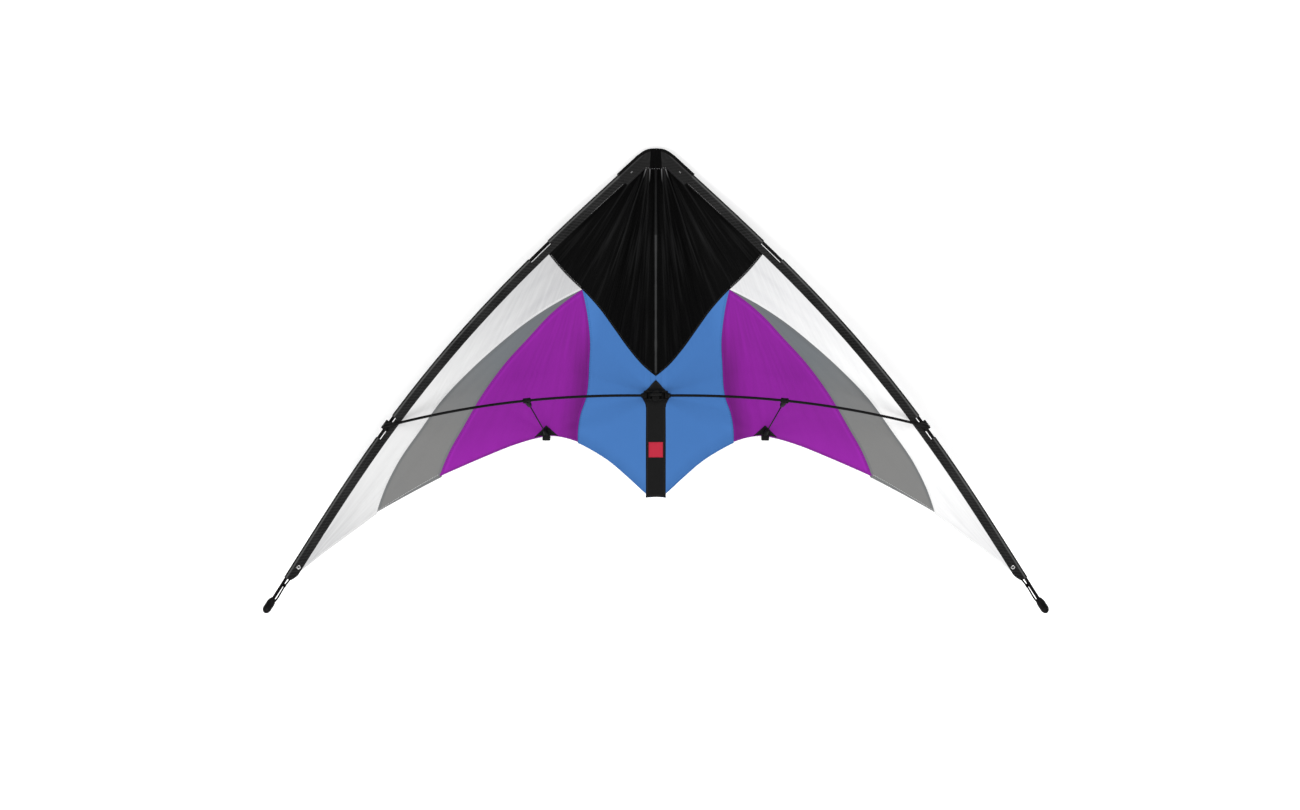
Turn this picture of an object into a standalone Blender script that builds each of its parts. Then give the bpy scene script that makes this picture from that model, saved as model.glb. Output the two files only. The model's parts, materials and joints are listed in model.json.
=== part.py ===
"""Pop-up stunt kite: a swept sail on a bent leading edge, with a spine, a hub and two folding wings.

All pieces are modelled in the kite's own frame, in metres: x to the right, y towards the nose, z to the
front, the side that carries the spreaders. The sail's flat middle is z = 0, and y = 0 is the lowest point
of the wing tips. The right wing is modelled and mirrored. The whole kite is then laid on its back, where
it rests on the nose and on the two feet at the trailing edge.
"""

import math

import bmesh
import bpy
import numpy as np
from mathutils import Matrix, Vector

MM = 0.001
CLEAR = 0.3 * MM

# The leading edge, as the outer line of its sleeve. The heading is the angle below level, in degrees, as a
# cubic in the share of the length that is passed.
EDGE_START = (24.2 * MM, 697.7 * MM)
EDGE_LENGTH = 930.0 * MM
EDGE_HEADING_DEG = (42.9, -8.6, 76.3, -53.8)
EDGE_SAMPLES = 401

# Rods
EDGE_ROD_RADIUS = 2.5 * MM
SPINE_RADIUS = 2.5 * MM
SPREADER_RADIUS = 2.0 * MM
STANDOFF_RADIUS = 1.0 * MM
CORD_RADIUS = 0.8 * MM

# Sleeve of the leading edge
SLEEVE_WIDTH = 16.7 * MM
SLEEVE_RADIUS = 3.6 * MM
TUNNEL_RADIUS = EDGE_ROD_RADIUS + CLEAR
BAND_HALF = 0.5 * MM
SAIL_INSET = SLEEVE_WIDTH + CLEAR
NOTCH_INSET = 8.6 * MM

# Heights of the marks along the leading edge
NOSE_ARM_END = 666.4 * MM
UPPER_NOTCH = (562.0 * MM, 534.2 * MM)
LOWER_NOTCH = (300.4 * MM, 267.9 * MM)
BLACK_CORNER = 557.5 * MM
EDGE_CONNECTOR_HEIGHT = 286.4 * MM
SLEEVE_END = 54.5 * MM
CAP_TOP = 22.0 * MM

# Middle of the kite
NOSE_TOP = 707.0 * MM
NOSE_LOWER_EDGE = 675.0 * MM
NOSE_ARM_WIDTH = 22.0 * MM
NOSE_ARM_RUN = 35.6 * MM
NOSE_ARM_PROUD = 1.9 * MM
NOSE_HALF_THICK = 3.9 * MM
CENTRE_HALF = 15.3 * MM
WING_INNER = 15.9 * MM
SPINE_BACK = -4.0 * MM
SPINE_ENDS = (181.0 * MM, 694.0 * MM)
STRIP_ENDS = (174.8 * MM, 319.4 * MM)
HUB_HEIGHT = 330.6 * MM
HUB_HALF_LENGTH = 10.4 * MM
BOSS_HALF = 6.5 * MM
LABEL_BOX = ((-11.0 * MM, 236.3 * MM), (11.0 * MM, 259.8 * MM))

# Hinges of the wings
HINGE_X = 15.6 * MM
HINGE_Z = 5.0 * MM
PIN_RADIUS = 1.2 * MM
KNUCKLE_RADIUS = 2.8 * MM
KNUCKLE_HALF = 6.7 * MM

# Spreader, standoff and feet
SPREADER_START = 25.0 * MM
SPREADER_STRAIGHT = 36.0 * MM
SPREADER_HUB_Z = 8.5 * MM
SPREADER_EDGE_Z = 6.0 * MM
SPREADER_BOW = 12.0 * MM
CLIP_X = 196.0 * MM
FOOT_X = 167.4 * MM
FOOT_Y = 272.0 * MM

# Sail
SAIL_DEPTH = 62.0 * MM
SAIL_BILLOW = 4.0 * MM
CREASE_SOFTNESS = 0.5
CLOTH_THICK = 0.7 * MM
SEAM_HALF_GAP = 0.2 * MM

# Outlines of the sail's colours on the right wing, as points on smooth seams, in millimetres
APEX = (112.5, 492.4)
BLACK_EDGE_OUTER = ((128.0, 506.5), APEX)
BLACK_EDGE_INNER = (APEX, (84.0, 461.0), (62.0, 430.5), (40.0, 400.0), (15.9, 372.8))
WHITE_SEAM = (
    APEX,
    (163.5, 464.9),
    (195.7, 443.4),
    (238.3, 409.3),
    (281.1, 370.8),
    (326.0, 323.7),
    (358.9, 278.1),
    (394.0, 226.7),
    (416.0, 181.0),
    (426.1, 149.8),
)
GREY_SEAM = (
    APEX,
    (159.3, 456.2),
    (195.7, 417.5),
    (227.7, 382.6),
    (261.9, 336.7),
    (295.6, 279.6),
    (314.2, 247.0),
    (330.4, 206.9),
)
PURPLE_SEAM = (
    APEX,
    (103.7, 447.7),
    (100.5, 413.6),
    (101.7, 379.3),
    (106.9, 325.9),
    (114.8, 302.9),
    (119.1, 258.2),
)
HEM_BLUE = ((119.1, 258.2), (99.7, 248.2), (71.7, 230.7), (41.4, 205.0), (15.9, 181.7))
HEM_PURPLE_INNER = ((119.1, 258.2), (135.0, 264.0), (151.1, 267.6), (167.2, 268.9))
HEM_PURPLE_OUTER = (
    (167.2, 268.9),
    (181.4, 265.9),
    (220.9, 254.0),
    (258.3, 238.8),
    (293.1, 223.7),
    (330.4, 206.9),
)
HEM_GREY = ((330.4, 206.9), (378.0, 179.5), (426.1, 149.8))
HEM_WHITE = ((426.1, 149.8), (463.8, 121.1), (494.9, 97.8), (518.2, 79.2), (536.0, 65.0))
NOSE_ROUND = ((15.9, 704.7), (19.0, 703.2), (22.2, 701.2), (25.6, 698.3))
SPLIT_OUTER = 3
SPLIT_INNER = 6
SPLIT_SEAM = 14

COLOURS = {
    "black_cloth": (20, 20, 21),
    "white_cloth": (236, 237, 240),
    "grey_cloth": (128, 132, 130),
    "purple_cloth": (141, 35, 156),
    "blue_cloth": (69, 123, 191),
    "webbing": (38, 38, 40),
    "rod": (22, 22, 24),
    "fitting": (26, 26, 28),
    "label": (196, 42, 66),
    "eyelet": (176, 168, 150),
    "cord": (34, 34, 36),
}


def clear_scene():
    for thing in list(bpy.data.objects):
        bpy.data.objects.remove(thing, do_unlink=True)


def collection_named(name):
    made = bpy.data.collections.new(name)
    bpy.context.scene.collection.children.link(made)
    return made


clear_scene()
kite_parts = collection_named("pop_up_stunt_kite")
cutters = collection_named("cutters")
cutters.hide_render = True


def linear(channel):
    value = channel / 255
    return value / 12.92 if value <= 0.04045 else ((value + 0.055) / 1.055) ** 2.4


def material_for(name, kind):
    made = bpy.data.materials.new(name)
    made.use_nodes = True
    shader = made.node_tree.nodes["Principled BSDF"]
    colour = tuple(linear(channel) for channel in COLOURS[kind])
    shader.inputs["Base Color"].default_value = (*colour, 1)
    shader.inputs["Roughness"].default_value = 0.35 if kind in ("rod", "fitting", "eyelet") else 0.75
    shader.inputs["Metallic"].default_value = 1.0 if kind == "eyelet" else 0.0
    return made


def add_object(name, data, home=kite_parts):
    thing = bpy.data.objects.new(name, data)
    home.objects.link(thing)
    return thing


def take_mesh(thing):
    """The object's evaluated mesh with doubles merged. The object is removed."""
    bpy.context.view_layer.update()
    graph = bpy.context.evaluated_depsgraph_get()
    mesh = bpy.data.meshes.new_from_object(thing.evaluated_get(graph))
    mesh.transform(thing.matrix_world)
    shape = bmesh.new()
    shape.from_mesh(mesh)
    bmesh.ops.remove_doubles(shape, verts=shape.verts, dist=0.01 * MM)
    bmesh.ops.recalc_face_normals(shape, faces=shape.faces)
    shape.to_mesh(mesh)
    shape.free()
    bpy.data.objects.remove(thing, do_unlink=True)
    return mesh


def box(low, high):
    shape = bmesh.new()
    size = [high[i] - low[i] for i in range(3)]
    middle = [(high[i] + low[i]) / 2 for i in range(3)]
    place = Matrix.Translation(middle) @ Matrix.Diagonal((*size, 1))
    bmesh.ops.create_cube(shape, size=1, matrix=place)
    mesh = bpy.data.meshes.new("box")
    shape.to_mesh(mesh)
    shape.free()
    return mesh


def cylinder(start, end, radius, sides=20):
    """A straight round bar from one point to another."""
    start = Vector(start)
    end = Vector(end)
    along = end - start
    turn = Vector((0, 0, 1)).rotation_difference(along).to_matrix().to_4x4()
    place = Matrix.Translation((start + end) / 2) @ turn
    shape = bmesh.new()
    bmesh.ops.create_cone(
        shape,
        cap_ends=True,
        segments=sides,
        radius1=radius,
        radius2=radius,
        depth=along.length,
        matrix=place,
    )
    mesh = bpy.data.meshes.new("bar")
    shape.to_mesh(mesh)
    shape.free()
    return mesh


def tube(points, radius, resolution=2):
    """A round bar along a line of points."""
    curve = bpy.data.curves.new("tube", "CURVE")
    curve.dimensions = "3D"
    curve.bevel_depth = radius
    curve.bevel_resolution = resolution
    curve.use_fill_caps = True
    spline = curve.splines.new("POLY")
    spline.points.add(len(points) - 1)
    for slot, point in zip(spline.points, points):
        slot.co = (*point, 1)
    return take_mesh(add_object("tube", curve))


def plate(outline, low, high):
    """A flat piece between two heights from its outline."""
    curve = bpy.data.curves.new("plate", "CURVE")
    curve.dimensions = "2D"
    curve.fill_mode = "BOTH"
    curve.extrude = (high - low) / 2
    spline = curve.splines.new("POLY")
    spline.points.add(len(outline) - 1)
    for slot, point in zip(spline.points, outline):
        slot.co = (point[0], point[1], 0, 1)
    spline.use_cyclic_u = True
    thing = add_object("plate", curve)
    thing.location.z = (high + low) / 2
    return take_mesh(thing)


def turned(profile, place, steps=20):
    """A profile of (radius, height) points, from its top down, turned round the z axis and then placed."""
    shape = bmesh.new()
    points = [shape.verts.new((radius, 0, height)) for radius, height in profile]
    for first, second in zip(points, points[1:]):
        shape.edges.new((first, second))
    mesh = bpy.data.meshes.new("profile")
    shape.to_mesh(mesh)
    shape.free()
    thing = add_object("turned", mesh)
    screw = thing.modifiers.new("turn", "SCREW")
    screw.steps = steps
    screw.render_steps = steps
    screw.use_merge_vertices = True
    screw.merge_threshold = 0.0001
    mesh = take_mesh(thing)
    mesh.transform(place)
    return mesh


def combined(base, others, operation):
    """The first mesh joined with the others, or cut by them."""
    thing = add_object("base", base)
    for number, other in enumerate(others):
        tool = add_object(f"tool_{number}", other, cutters)
        tool.display_type = "WIRE"
        tool.hide_render = True
        step = thing.modifiers.new(f"step_{number}", "BOOLEAN")
        step.operation = operation
        step.solver = "EXACT"
        step.object = tool
    mesh = take_mesh(thing)
    for other in [tool for tool in cutters.objects]:
        bpy.data.objects.remove(other, do_unlink=True)
    return mesh


def joined(*meshes):
    return combined(meshes[0], meshes[1:], "UNION")


def cut(mesh, *tools):
    return combined(mesh, tools, "DIFFERENCE")


def softened(mesh, width, segments=2):
    """The mesh with its sharp edges rounded."""
    thing = add_object("softened", mesh)
    bevel = thing.modifiers.new("soft_edges", "BEVEL")
    bevel.width = width
    bevel.segments = segments
    bevel.limit_method = "ANGLE"
    bevel.angle_limit = math.radians(40)
    return take_mesh(thing)


def finish_piece(name, mesh, kind, parent, home):
    """The mesh as a named piece, hung on its parent. The mesh is in the kite's frame."""
    mesh.name = name
    mesh.shade_smooth()
    mesh.set_sharp_from_angle(angle=math.radians(35))
    mesh.materials.clear()
    mesh.materials.append(material_for(name, kind))
    thing = add_object(name, mesh)
    thing.parent = parent
    thing.location = [-value for value in home]
    return thing


def smooth_line(points, pieces):
    """A smooth curve through the points, at evenly spaced shares of its length, as a cubic between each pair."""
    points = np.array(points, float)
    steps = np.r_[0, np.cumsum(np.hypot(*np.diff(points, axis=0).T))]
    slopes = np.gradient(points, steps, axis=0, edge_order=2 if len(points) > 2 else 1)
    at = np.linspace(0, steps[-1], pieces * 8 + 1)
    index = np.clip(np.searchsorted(steps, at, side="right") - 1, 0, len(points) - 2)
    span = (steps[index + 1] - steps[index])[:, None]
    share = (at - steps[index])[:, None] / span
    curve = (
        (2 * share**3 - 3 * share**2 + 1) * points[index]
        + (share**3 - 2 * share**2 + share) * span * slopes[index]
        + (3 * share**2 - 2 * share**3) * points[index + 1]
        + (share**3 - share**2) * span * slopes[index + 1]
    )
    passed = np.r_[0, np.cumsum(np.hypot(*np.diff(curve, axis=0).T))]
    even = np.linspace(0, passed[-1], pieces + 1)
    return np.stack([np.interp(even, passed, curve[:, i]) for i in range(2)], axis=1)


def shifted(line, distance):
    """The line moved sideways, to the right of its own direction."""
    ahead = np.gradient(line, axis=0)
    ahead /= np.linalg.norm(ahead, axis=1)[:, None]
    return line + distance * np.stack([ahead[:, 1], -ahead[:, 0]], axis=1)


def make_edge():
    """The leading edge's outer line: points, unit directions and the distance passed."""
    passed = np.linspace(0, EDGE_LENGTH, EDGE_SAMPLES)
    share = passed / EDGE_LENGTH
    heading = np.radians(np.polyval(EDGE_HEADING_DEG[::-1], share))
    ahead = np.stack([np.cos(heading), -np.sin(heading)], axis=1)
    middle = (ahead[1:] + ahead[:-1]) / 2 * passed[1]
    points = np.array(EDGE_START) + np.r_[[[0, 0]], np.cumsum(middle, axis=0)]
    return points, ahead, passed


EDGE_POINTS, EDGE_AHEAD, EDGE_PASSED = make_edge()


def passed_at(height):
    """How far along the leading edge its outer line is at this height."""
    return float(np.interp(-height, -EDGE_POINTS[:, 1], EDGE_PASSED))


def along_edge(passed, inset):
    """Points beside the leading edge, moved in from its outer line."""
    passed = np.atleast_1d(passed)
    point = np.stack([np.interp(passed, EDGE_PASSED, EDGE_POINTS[:, i]) for i in range(2)], axis=1)
    ahead = np.stack([np.interp(passed, EDGE_PASSED, EDGE_AHEAD[:, i]) for i in range(2)], axis=1)
    return point + inset * np.stack([ahead[:, 1], -ahead[:, 0]], axis=1)


def edge_line(start, end, inset, pieces):
    return along_edge(np.linspace(start, end, pieces + 1), inset)


def inset_of(x, y):
    """How far in from the leading edge's outer line each point lies."""
    gap = np.hypot(x[..., None] - EDGE_POINTS[:, 0], y[..., None] - EDGE_POINTS[:, 1])
    return gap.min(axis=-1)


def sail_height(x, y):
    """The sail's depth behind its flat middle.

    It hangs from the leading edge and from the centre strip, both at height zero, and is pushed back at the
    foot of the standoff. The share of the depth is the lesser of the shares of the way from the strip and
    from the leading edge to the foot, with the crease between them rounded, and a small billow is added.
    """
    x = np.abs(np.asarray(x, float))
    y = np.asarray(y, float)
    foot_inset = inset_of(np.array(FOOT_X), np.array(FOOT_Y)) - SAIL_INSET
    from_strip = np.maximum(x - CENTRE_HALF, 0) / (FOOT_X - CENTRE_HALF)
    from_edge = np.maximum(inset_of(x, y) - SAIL_INSET, 0) / foot_inset
    reach = CREASE_SOFTNESS * (from_strip + from_edge) / 2 + 1e-9
    round_off = np.maximum(reach - np.abs(from_strip - from_edge), 0) ** 2 / (4 * reach)
    share = (np.minimum(from_strip, from_edge) - round_off) / (1 - CREASE_SOFTNESS / 4)
    billow = 4 * SAIL_BILLOW * np.clip(share, 0, 1) * (1 - np.clip(share, 0, 1))
    return -SAIL_DEPTH * share - billow


def lifted_panel(first, last, start, end, lift, thick):
    """A sheet of cloth on the sail between four lines, each given as points in the kite's plane.

    first and last run along the panel's rows at its two sides; start and end join their ends. The inside is
    the mean of the two ruled surfaces less the one that their corners give.
    """
    rows = len(first) - 1
    columns = len(start) - 1
    down = np.linspace(0, 1, rows + 1)[:, None, None]
    over = np.linspace(0, 1, columns + 1)[None, :, None]
    ruled = (1 - over) * first[:, None] + over * last[:, None]
    hung = (1 - down) * start[None] + down * end[None]
    corners = (1 - down) * ((1 - over) * first[0] + over * last[0]) + down * (
        (1 - over) * first[-1] + over * last[-1]
    )
    flat = ruled + hung - corners
    shape = bmesh.new()
    bmesh.ops.create_grid(shape, x_segments=columns, y_segments=rows, size=0.5)
    heights = sail_height(flat[..., 0], flat[..., 1]) + lift
    for vertex in shape.verts:
        column = round((vertex.co.x + 0.5) * columns)
        row = round((vertex.co.y + 0.5) * rows)
        vertex.co = (*flat[row, column], heights[row, column])
    bmesh.ops.remove_doubles(shape, verts=shape.verts, dist=0.05 * MM)
    bmesh.ops.recalc_face_normals(shape, faces=shape.faces)
    mesh = bpy.data.meshes.new("sheet")
    shape.to_mesh(mesh)
    shape.free()
    thing = add_object("sheet", mesh)
    wall = thing.modifiers.new("thickness", "SOLIDIFY")
    wall.thickness = thick
    wall.offset = 0
    return take_mesh(thing)


def straight(first, second, pieces):
    share = np.linspace(0, 1, pieces + 1)[:, None]
    return (1 - share) * np.asarray(first, float) + share * np.asarray(second, float)


def line_mm(points, pieces):
    return smooth_line(np.array(points) * MM, pieces)


# The sail's seams, shared by the panels on both sides of each
black_corner = along_edge(passed_at(BLACK_CORNER), SAIL_INSET)[0] / MM
black_outer = line_mm((black_corner, *BLACK_EDGE_OUTER), SPLIT_OUTER)
black_inner = line_mm(BLACK_EDGE_INNER, SPLIT_INNER)
white_seam = line_mm(WHITE_SEAM, SPLIT_SEAM)
grey_seam = line_mm(GREY_SEAM, SPLIT_SEAM)
purple_seam = line_mm(PURPLE_SEAM, SPLIT_SEAM)


def trimmed(line, length):
    """The line with its first point moved on, so that panels that share a corner stay apart."""
    line = line.copy()
    ahead = line[1] - line[0]
    line[0] += ahead / np.linalg.norm(ahead) * length
    return line


def panel(first, last, columns, lift=0.0, thick=CLOTH_THICK, start=None, end=None):
    start = straight(first[0], last[0], columns) if start is None else start
    end = straight(first[-1], last[-1], columns) if end is None else end
    return lifted_panel(first, last, start, end, lift, thick)


def between(line, first, last):
    """The line with its ends moved to two points, and the rest carried along."""
    share = np.linspace(0, 1, len(line))[:, None]
    return line + (1 - share) * (first - line[0]) + share * (last - line[-1])


def black_panel():
    bottom = shifted(np.concatenate([black_outer, black_inner[1:]]), SEAM_HALF_GAP)
    gap = 2 * CLEAR
    start = passed_at(NOSE_ARM_END) + gap
    outer = edge_line(start, passed_at(BLACK_CORNER), SAIL_INSET, 6)
    arm_corner = along_edge(start, NOSE_ARM_WIDTH + gap)[0]
    under_nose = NOSE_LOWER_EDGE - CLEAR
    inner_arm = along_edge(start - NOSE_ARM_RUN, NOSE_ARM_WIDTH + gap)[0]
    shoulder = (inner_arm[0], under_nose)
    top = np.concatenate(
        [
            straight(outer[0], arm_corner, 2),
            straight(arm_corner, shoulder, 4)[1:],
            straight(shoulder, (WING_INNER, under_nose), 3)[1:],
        ]
    )
    bottom[0] = outer[-1] - 0.5 * (outer[-1] - outer[-2]) / np.linalg.norm(outer[-1] - outer[-2]) * MM
    outer[-1] = bottom[0]
    inner = straight(top[-1], bottom[-1], 6)
    return panel(outer, inner, len(top) - 1, start=top, end=bottom)


def white_panel():
    inner = shifted(np.concatenate([black_outer[:-1], white_seam]), -SEAM_HALF_GAP)
    inner = trimmed(inner, 3 * MM)
    first = passed_at(BLACK_CORNER) + 4 * MM
    last = passed_at(SLEEVE_END + 1.5 * MM)
    outer = edge_line(first, last, SAIL_INSET, len(inner) - 1)
    hem = between(line_mm(HEM_WHITE, 5)[::-1], outer[-1], inner[-1])
    return panel(outer, inner, 5, end=hem)


def grey_panel():
    outer = trimmed(shifted(white_seam, SEAM_HALF_GAP), 9 * MM)
    inner = trimmed(shifted(grey_seam, -SEAM_HALF_GAP), 9 * MM)
    hem = between(line_mm(HEM_GREY, 4)[::-1], outer[-1], inner[-1])
    return panel(outer, inner, 4, end=hem)


def purple_panel():
    outer = trimmed(shifted(grey_seam, SEAM_HALF_GAP), 3 * MM)
    inner = trimmed(shifted(purple_seam, -SEAM_HALF_GAP), 3 * MM)
    from_grey = line_mm(HEM_PURPLE_OUTER, 10)[::-1]
    to_blue = line_mm(HEM_PURPLE_INNER, 4)[::-1]
    hem = between(np.concatenate([from_grey, to_blue[1:]]), outer[-1], inner[-1])
    return panel(outer, inner, len(hem) - 1, end=hem)


def blue_panel():
    outer = trimmed(shifted(purple_seam, SEAM_HALF_GAP), 3 * MM)
    top = trimmed(shifted(black_inner, -SEAM_HALF_GAP), 3 * MM)
    foot = np.array(HEM_BLUE[-1]) * MM
    down = straight(top[-1], foot, SPLIT_SEAM - SPLIT_INNER)
    inner = np.concatenate([top, down[1:]])
    hem = between(line_mm(HEM_BLUE, 6), outer[-1], inner[-1])
    return panel(outer, inner, 6, end=hem)


def sleeve(start, end, notch, eyelet_at=None):
    """A length of the sleeve that holds the leading edge rod, with its cut-out and its flat inner band."""
    pieces = max(4, round((end - start) / (38 * MM)))
    middle = edge_line(start, end, SLEEVE_RADIUS, pieces)
    band_in = edge_line(start, end, SLEEVE_WIDTH, pieces)
    band = plate(np.concatenate([middle, band_in[::-1]]), -BAND_HALF, BAND_HALF)
    hem = tube([(x, y, 0) for x, y in middle], SLEEVE_RADIUS, 3)
    whole = joined(hem, band)
    past = 12 * MM
    rod_way = edge_line(start - past, end + past, SLEEVE_RADIUS, pieces)
    whole = cut(whole, tube([(x, y, 0) for x, y in rod_way], TUNNEL_RADIUS, 2))
    if notch:
        outside = edge_line(notch[0], notch[1], -2 * MM, 3)
        inside = edge_line(notch[0], notch[1], NOTCH_INSET, 3)
        whole = cut(whole, plate(np.concatenate([outside, inside[::-1]]), -6 * MM, 6 * MM))
    if eyelet_at is not None:
        x, y = eyelet_at
        whole = cut(whole, cylinder((x, y, -3 * MM), (x, y, 3 * MM), 2.2 * MM, 16))
    return whole


def nose_webbing():
    end = passed_at(NOSE_ARM_END)
    outer = edge_line(4 * MM, end, -NOSE_ARM_PROUD, 4)
    arm_corner, inner_arm = along_edge([end, end - NOSE_ARM_RUN], NOSE_ARM_WIDTH)
    inner = [arm_corner, (inner_arm[0], NOSE_LOWER_EDGE), (WING_INNER, NOSE_LOWER_EDGE)]
    outline = np.concatenate([np.array(NOSE_ROUND) * MM, outer, inner])
    whole = softened(plate(outline, -NOSE_HALF_THICK, NOSE_HALF_THICK), 1.2 * MM)
    rod_way = edge_line(0, end + 12 * MM, SLEEVE_RADIUS, 6)
    return cut(whole, tube([(x, y, 0) for x, y in rod_way], TUNNEL_RADIUS, 2))


def leading_edge_rod():
    line = edge_line(3 * MM, passed_at(CAP_TOP) + 14 * MM, SLEEVE_RADIUS, 26)
    return tube([(x, y, 0) for x, y in line], EDGE_ROD_RADIUS, 2)


def edge_connector_point():
    return along_edge(passed_at(EDGE_CONNECTOR_HEIGHT), SLEEVE_RADIUS)[0]


def spreader_point(x):
    """The spreader's middle line: square to the spine at the hub, bowed to the front, and bent to the edge."""
    end = edge_connector_point()
    share = np.clip((x - SPREADER_STRAIGHT) / (end[0] - SPREADER_STRAIGHT), 0, 1.02)
    y = HUB_HEIGHT - (HUB_HEIGHT - end[1]) * share**2.1
    rise = (SPREADER_EDGE_Z - SPREADER_HUB_Z) * share**2
    z = SPREADER_HUB_Z + rise + SPREADER_BOW * np.sin(np.pi * np.minimum(share, 1)) ** 2
    return np.array([x, y, z])


def spreader_rod():
    end = edge_connector_point()[0] + 1.5 * MM
    places = np.r_[SPREADER_START, np.linspace(SPREADER_STRAIGHT, end, 22)]
    return tube([spreader_point(x) for x in places], SPREADER_RADIUS, 2)


def spreader_socket():
    x = HINGE_X
    z = HINGE_Z
    y = HUB_HEIGHT
    half = KNUCKLE_HALF
    knuckle = cylinder((x, y - half, z), (x, y + half, z), KNUCKLE_RADIUS, 20)
    heel = box((13.1 * MM, y - half + 0.1 * MM, 2.6 * MM), (16.2 * MM, y + half - 0.1 * MM, z))
    neck = box((x, y - 5.2 * MM, 3.6 * MM), (26 * MM, y + 5.2 * MM, 9.5 * MM))
    barrel = cylinder((19 * MM, y, SPREADER_HUB_Z), (39 * MM, y, SPREADER_HUB_Z), 4 * MM, 20)
    bore = cylinder((24.7 * MM, y, SPREADER_HUB_Z), (42 * MM, y, SPREADER_HUB_Z), 2.4 * MM, 16)
    pin_way = cylinder((x, y - 9 * MM, z), (x, y + 9 * MM, z), PIN_RADIUS + CLEAR, 16)
    return cut(joined(knuckle, heel, neck, barrel), bore, pin_way)


def edge_connector():
    """The fitting that is clamped on the leading edge rod and takes the spreader's end in front of it."""
    x, y = edge_connector_point()
    passed = passed_at(EDGE_CONNECTOR_HEIGHT)
    before, after = along_edge([passed - 6 * MM, passed + 6 * MM], SLEEVE_RADIUS)
    clamp = cylinder((*before, 0), (*after, 0), 5.0 * MM, 20)
    far_before, far_after = along_edge([passed - 9 * MM, passed + 9 * MM], SLEEVE_RADIUS)
    rod_way = cylinder((*far_before, 0), (*far_after, 0), TUNNEL_RADIUS, 16)
    inner = Vector(spreader_point(x - 15 * MM))
    outer = Vector(spreader_point(x))
    ahead = (outer - inner).normalized()
    barrel = cylinder(inner, outer + ahead * 6 * MM, 3.8 * MM, 20)
    seat = box((x - 5 * MM, y - 4 * MM, 1 * MM), (x + 5 * MM, y + 4 * MM, 5 * MM))
    bore = cylinder(inner - ahead * 5 * MM, outer + ahead * 1.8 * MM, SPREADER_RADIUS + 0.4 * MM, 16)
    return cut(joined(clamp, seat, barrel), rod_way, bore)


def foot_frame():
    """Where the foot sits on the sail: its point, and the sail's own frame there."""
    step = 1 * MM
    point = Vector((FOOT_X, FOOT_Y, float(sail_height(FOOT_X, FOOT_Y))))
    rise_x = float(sail_height(FOOT_X + step, FOOT_Y) - sail_height(FOOT_X - step, FOOT_Y)) / (2 * step)
    rise_y = float(sail_height(FOOT_X, FOOT_Y + step) - sail_height(FOOT_X, FOOT_Y - step)) / (2 * step)
    front = Vector((-rise_x, -rise_y, 1)).normalized()
    right = Vector((1, 0, rise_x)).normalized()
    up = front.cross(right)
    turn = Matrix((right, up, front)).transposed().to_4x4()
    return Matrix.Translation(point) @ turn


def standoff_ends():
    clip = Vector(spreader_point(CLIP_X))
    foot = foot_frame() @ Vector((0, 0, 5 * MM))
    return clip, foot


def standoff_rod():
    clip, foot = standoff_ends()
    ahead = (foot - clip).normalized()
    return cylinder(clip + ahead * 5.2 * MM, foot - ahead * 0.3 * MM, STANDOFF_RADIUS, 12)


def standoff_clip():
    clip, foot = standoff_ends()
    ahead = (foot - clip).normalized()
    before = Vector(spreader_point(CLIP_X - 6 * MM))
    after = Vector(spreader_point(CLIP_X + 6 * MM))
    along = (after - before).normalized()
    barrel = cylinder(before, after, 4.2 * MM, 20)
    socket = cylinder(clip, clip + ahead * 16 * MM, 3.0 * MM, 16)
    rod_way = cylinder(before - along * 4 * MM, after + along * 4 * MM, SPREADER_RADIUS + 0.4 * MM, 16)
    bore = cylinder(clip + ahead * 4.9 * MM, clip + ahead * 20 * MM, STANDOFF_RADIUS + CLEAR, 12)
    return cut(joined(barrel, socket), rod_way, bore)


def foot_clip():
    """The fitting on the trailing edge: two jaws over the hem, the standoff's socket and a domed foot."""
    place = foot_frame()
    clip, foot = standoff_ends()
    back = (clip - foot).normalized()
    front_jaw = box((-6 * MM, -10 * MM, 1.9 * MM), (6 * MM, 8 * MM, 4.2 * MM))
    back_jaw = box((-6 * MM, -10 * MM, -3.6 * MM), (6 * MM, 6 * MM, -1.3 * MM))
    bridge = box((-6 * MM, -10 * MM, -3.0 * MM), (6 * MM, -4.6 * MM, 3.5 * MM))
    whole = joined(front_jaw, back_jaw, bridge)
    whole = softened(whole, 0.7 * MM)
    whole.transform(place)
    dome = turned(
        ((0, -1.6 * MM), (5 * MM, -1.6 * MM), (5 * MM, -4.6 * MM), (3.8 * MM, -6.6 * MM), (0, -7.8 * MM)),
        place,
    )
    socket = cylinder(foot - back * 1.8 * MM, foot + back * 13 * MM, 3.2 * MM, 16)
    bore = cylinder(foot, foot + back * 18 * MM, STANDOFF_RADIUS + CLEAR, 12)
    return cut(joined(whole, dome, socket), bore)


def trailing_edge_patch():
    base_out = np.array((186.0, 266.4)) * MM
    base_in = np.array((149.5, 269.0)) * MM
    tip = np.array((167.5, 285.0)) * MM
    outer = straight(base_out, tip, 4)
    inner = straight(base_in, tip, 4)
    return panel(outer, inner, 4, lift=1.2 * MM, thick=0.5 * MM)


def end_cap():
    start = passed_at(CAP_TOP)
    top, lower = along_edge([start, start + 20 * MM], SLEEVE_RADIUS)
    ahead = Vector((*(lower - top), 0)).normalized()
    turn = Vector((0, 0, -1)).rotation_difference(ahead).to_matrix().to_4x4()
    profile = (
        (0, 0),
        (5.6 * MM, 0),
        (6.2 * MM, -1 * MM),
        (6.4 * MM, -16 * MM),
        (5.6 * MM, -20.5 * MM),
        (3.4 * MM, -23.2 * MM),
        (0, -24.2 * MM),
    )
    body = turned(profile, Matrix.Translation((*top, 0)) @ turn)
    above = Vector((*top, 0)) - ahead * 4 * MM
    return cut(body, cylinder(above, above + ahead * 18.5 * MM, TUNNEL_RADIUS, 16))


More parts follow.
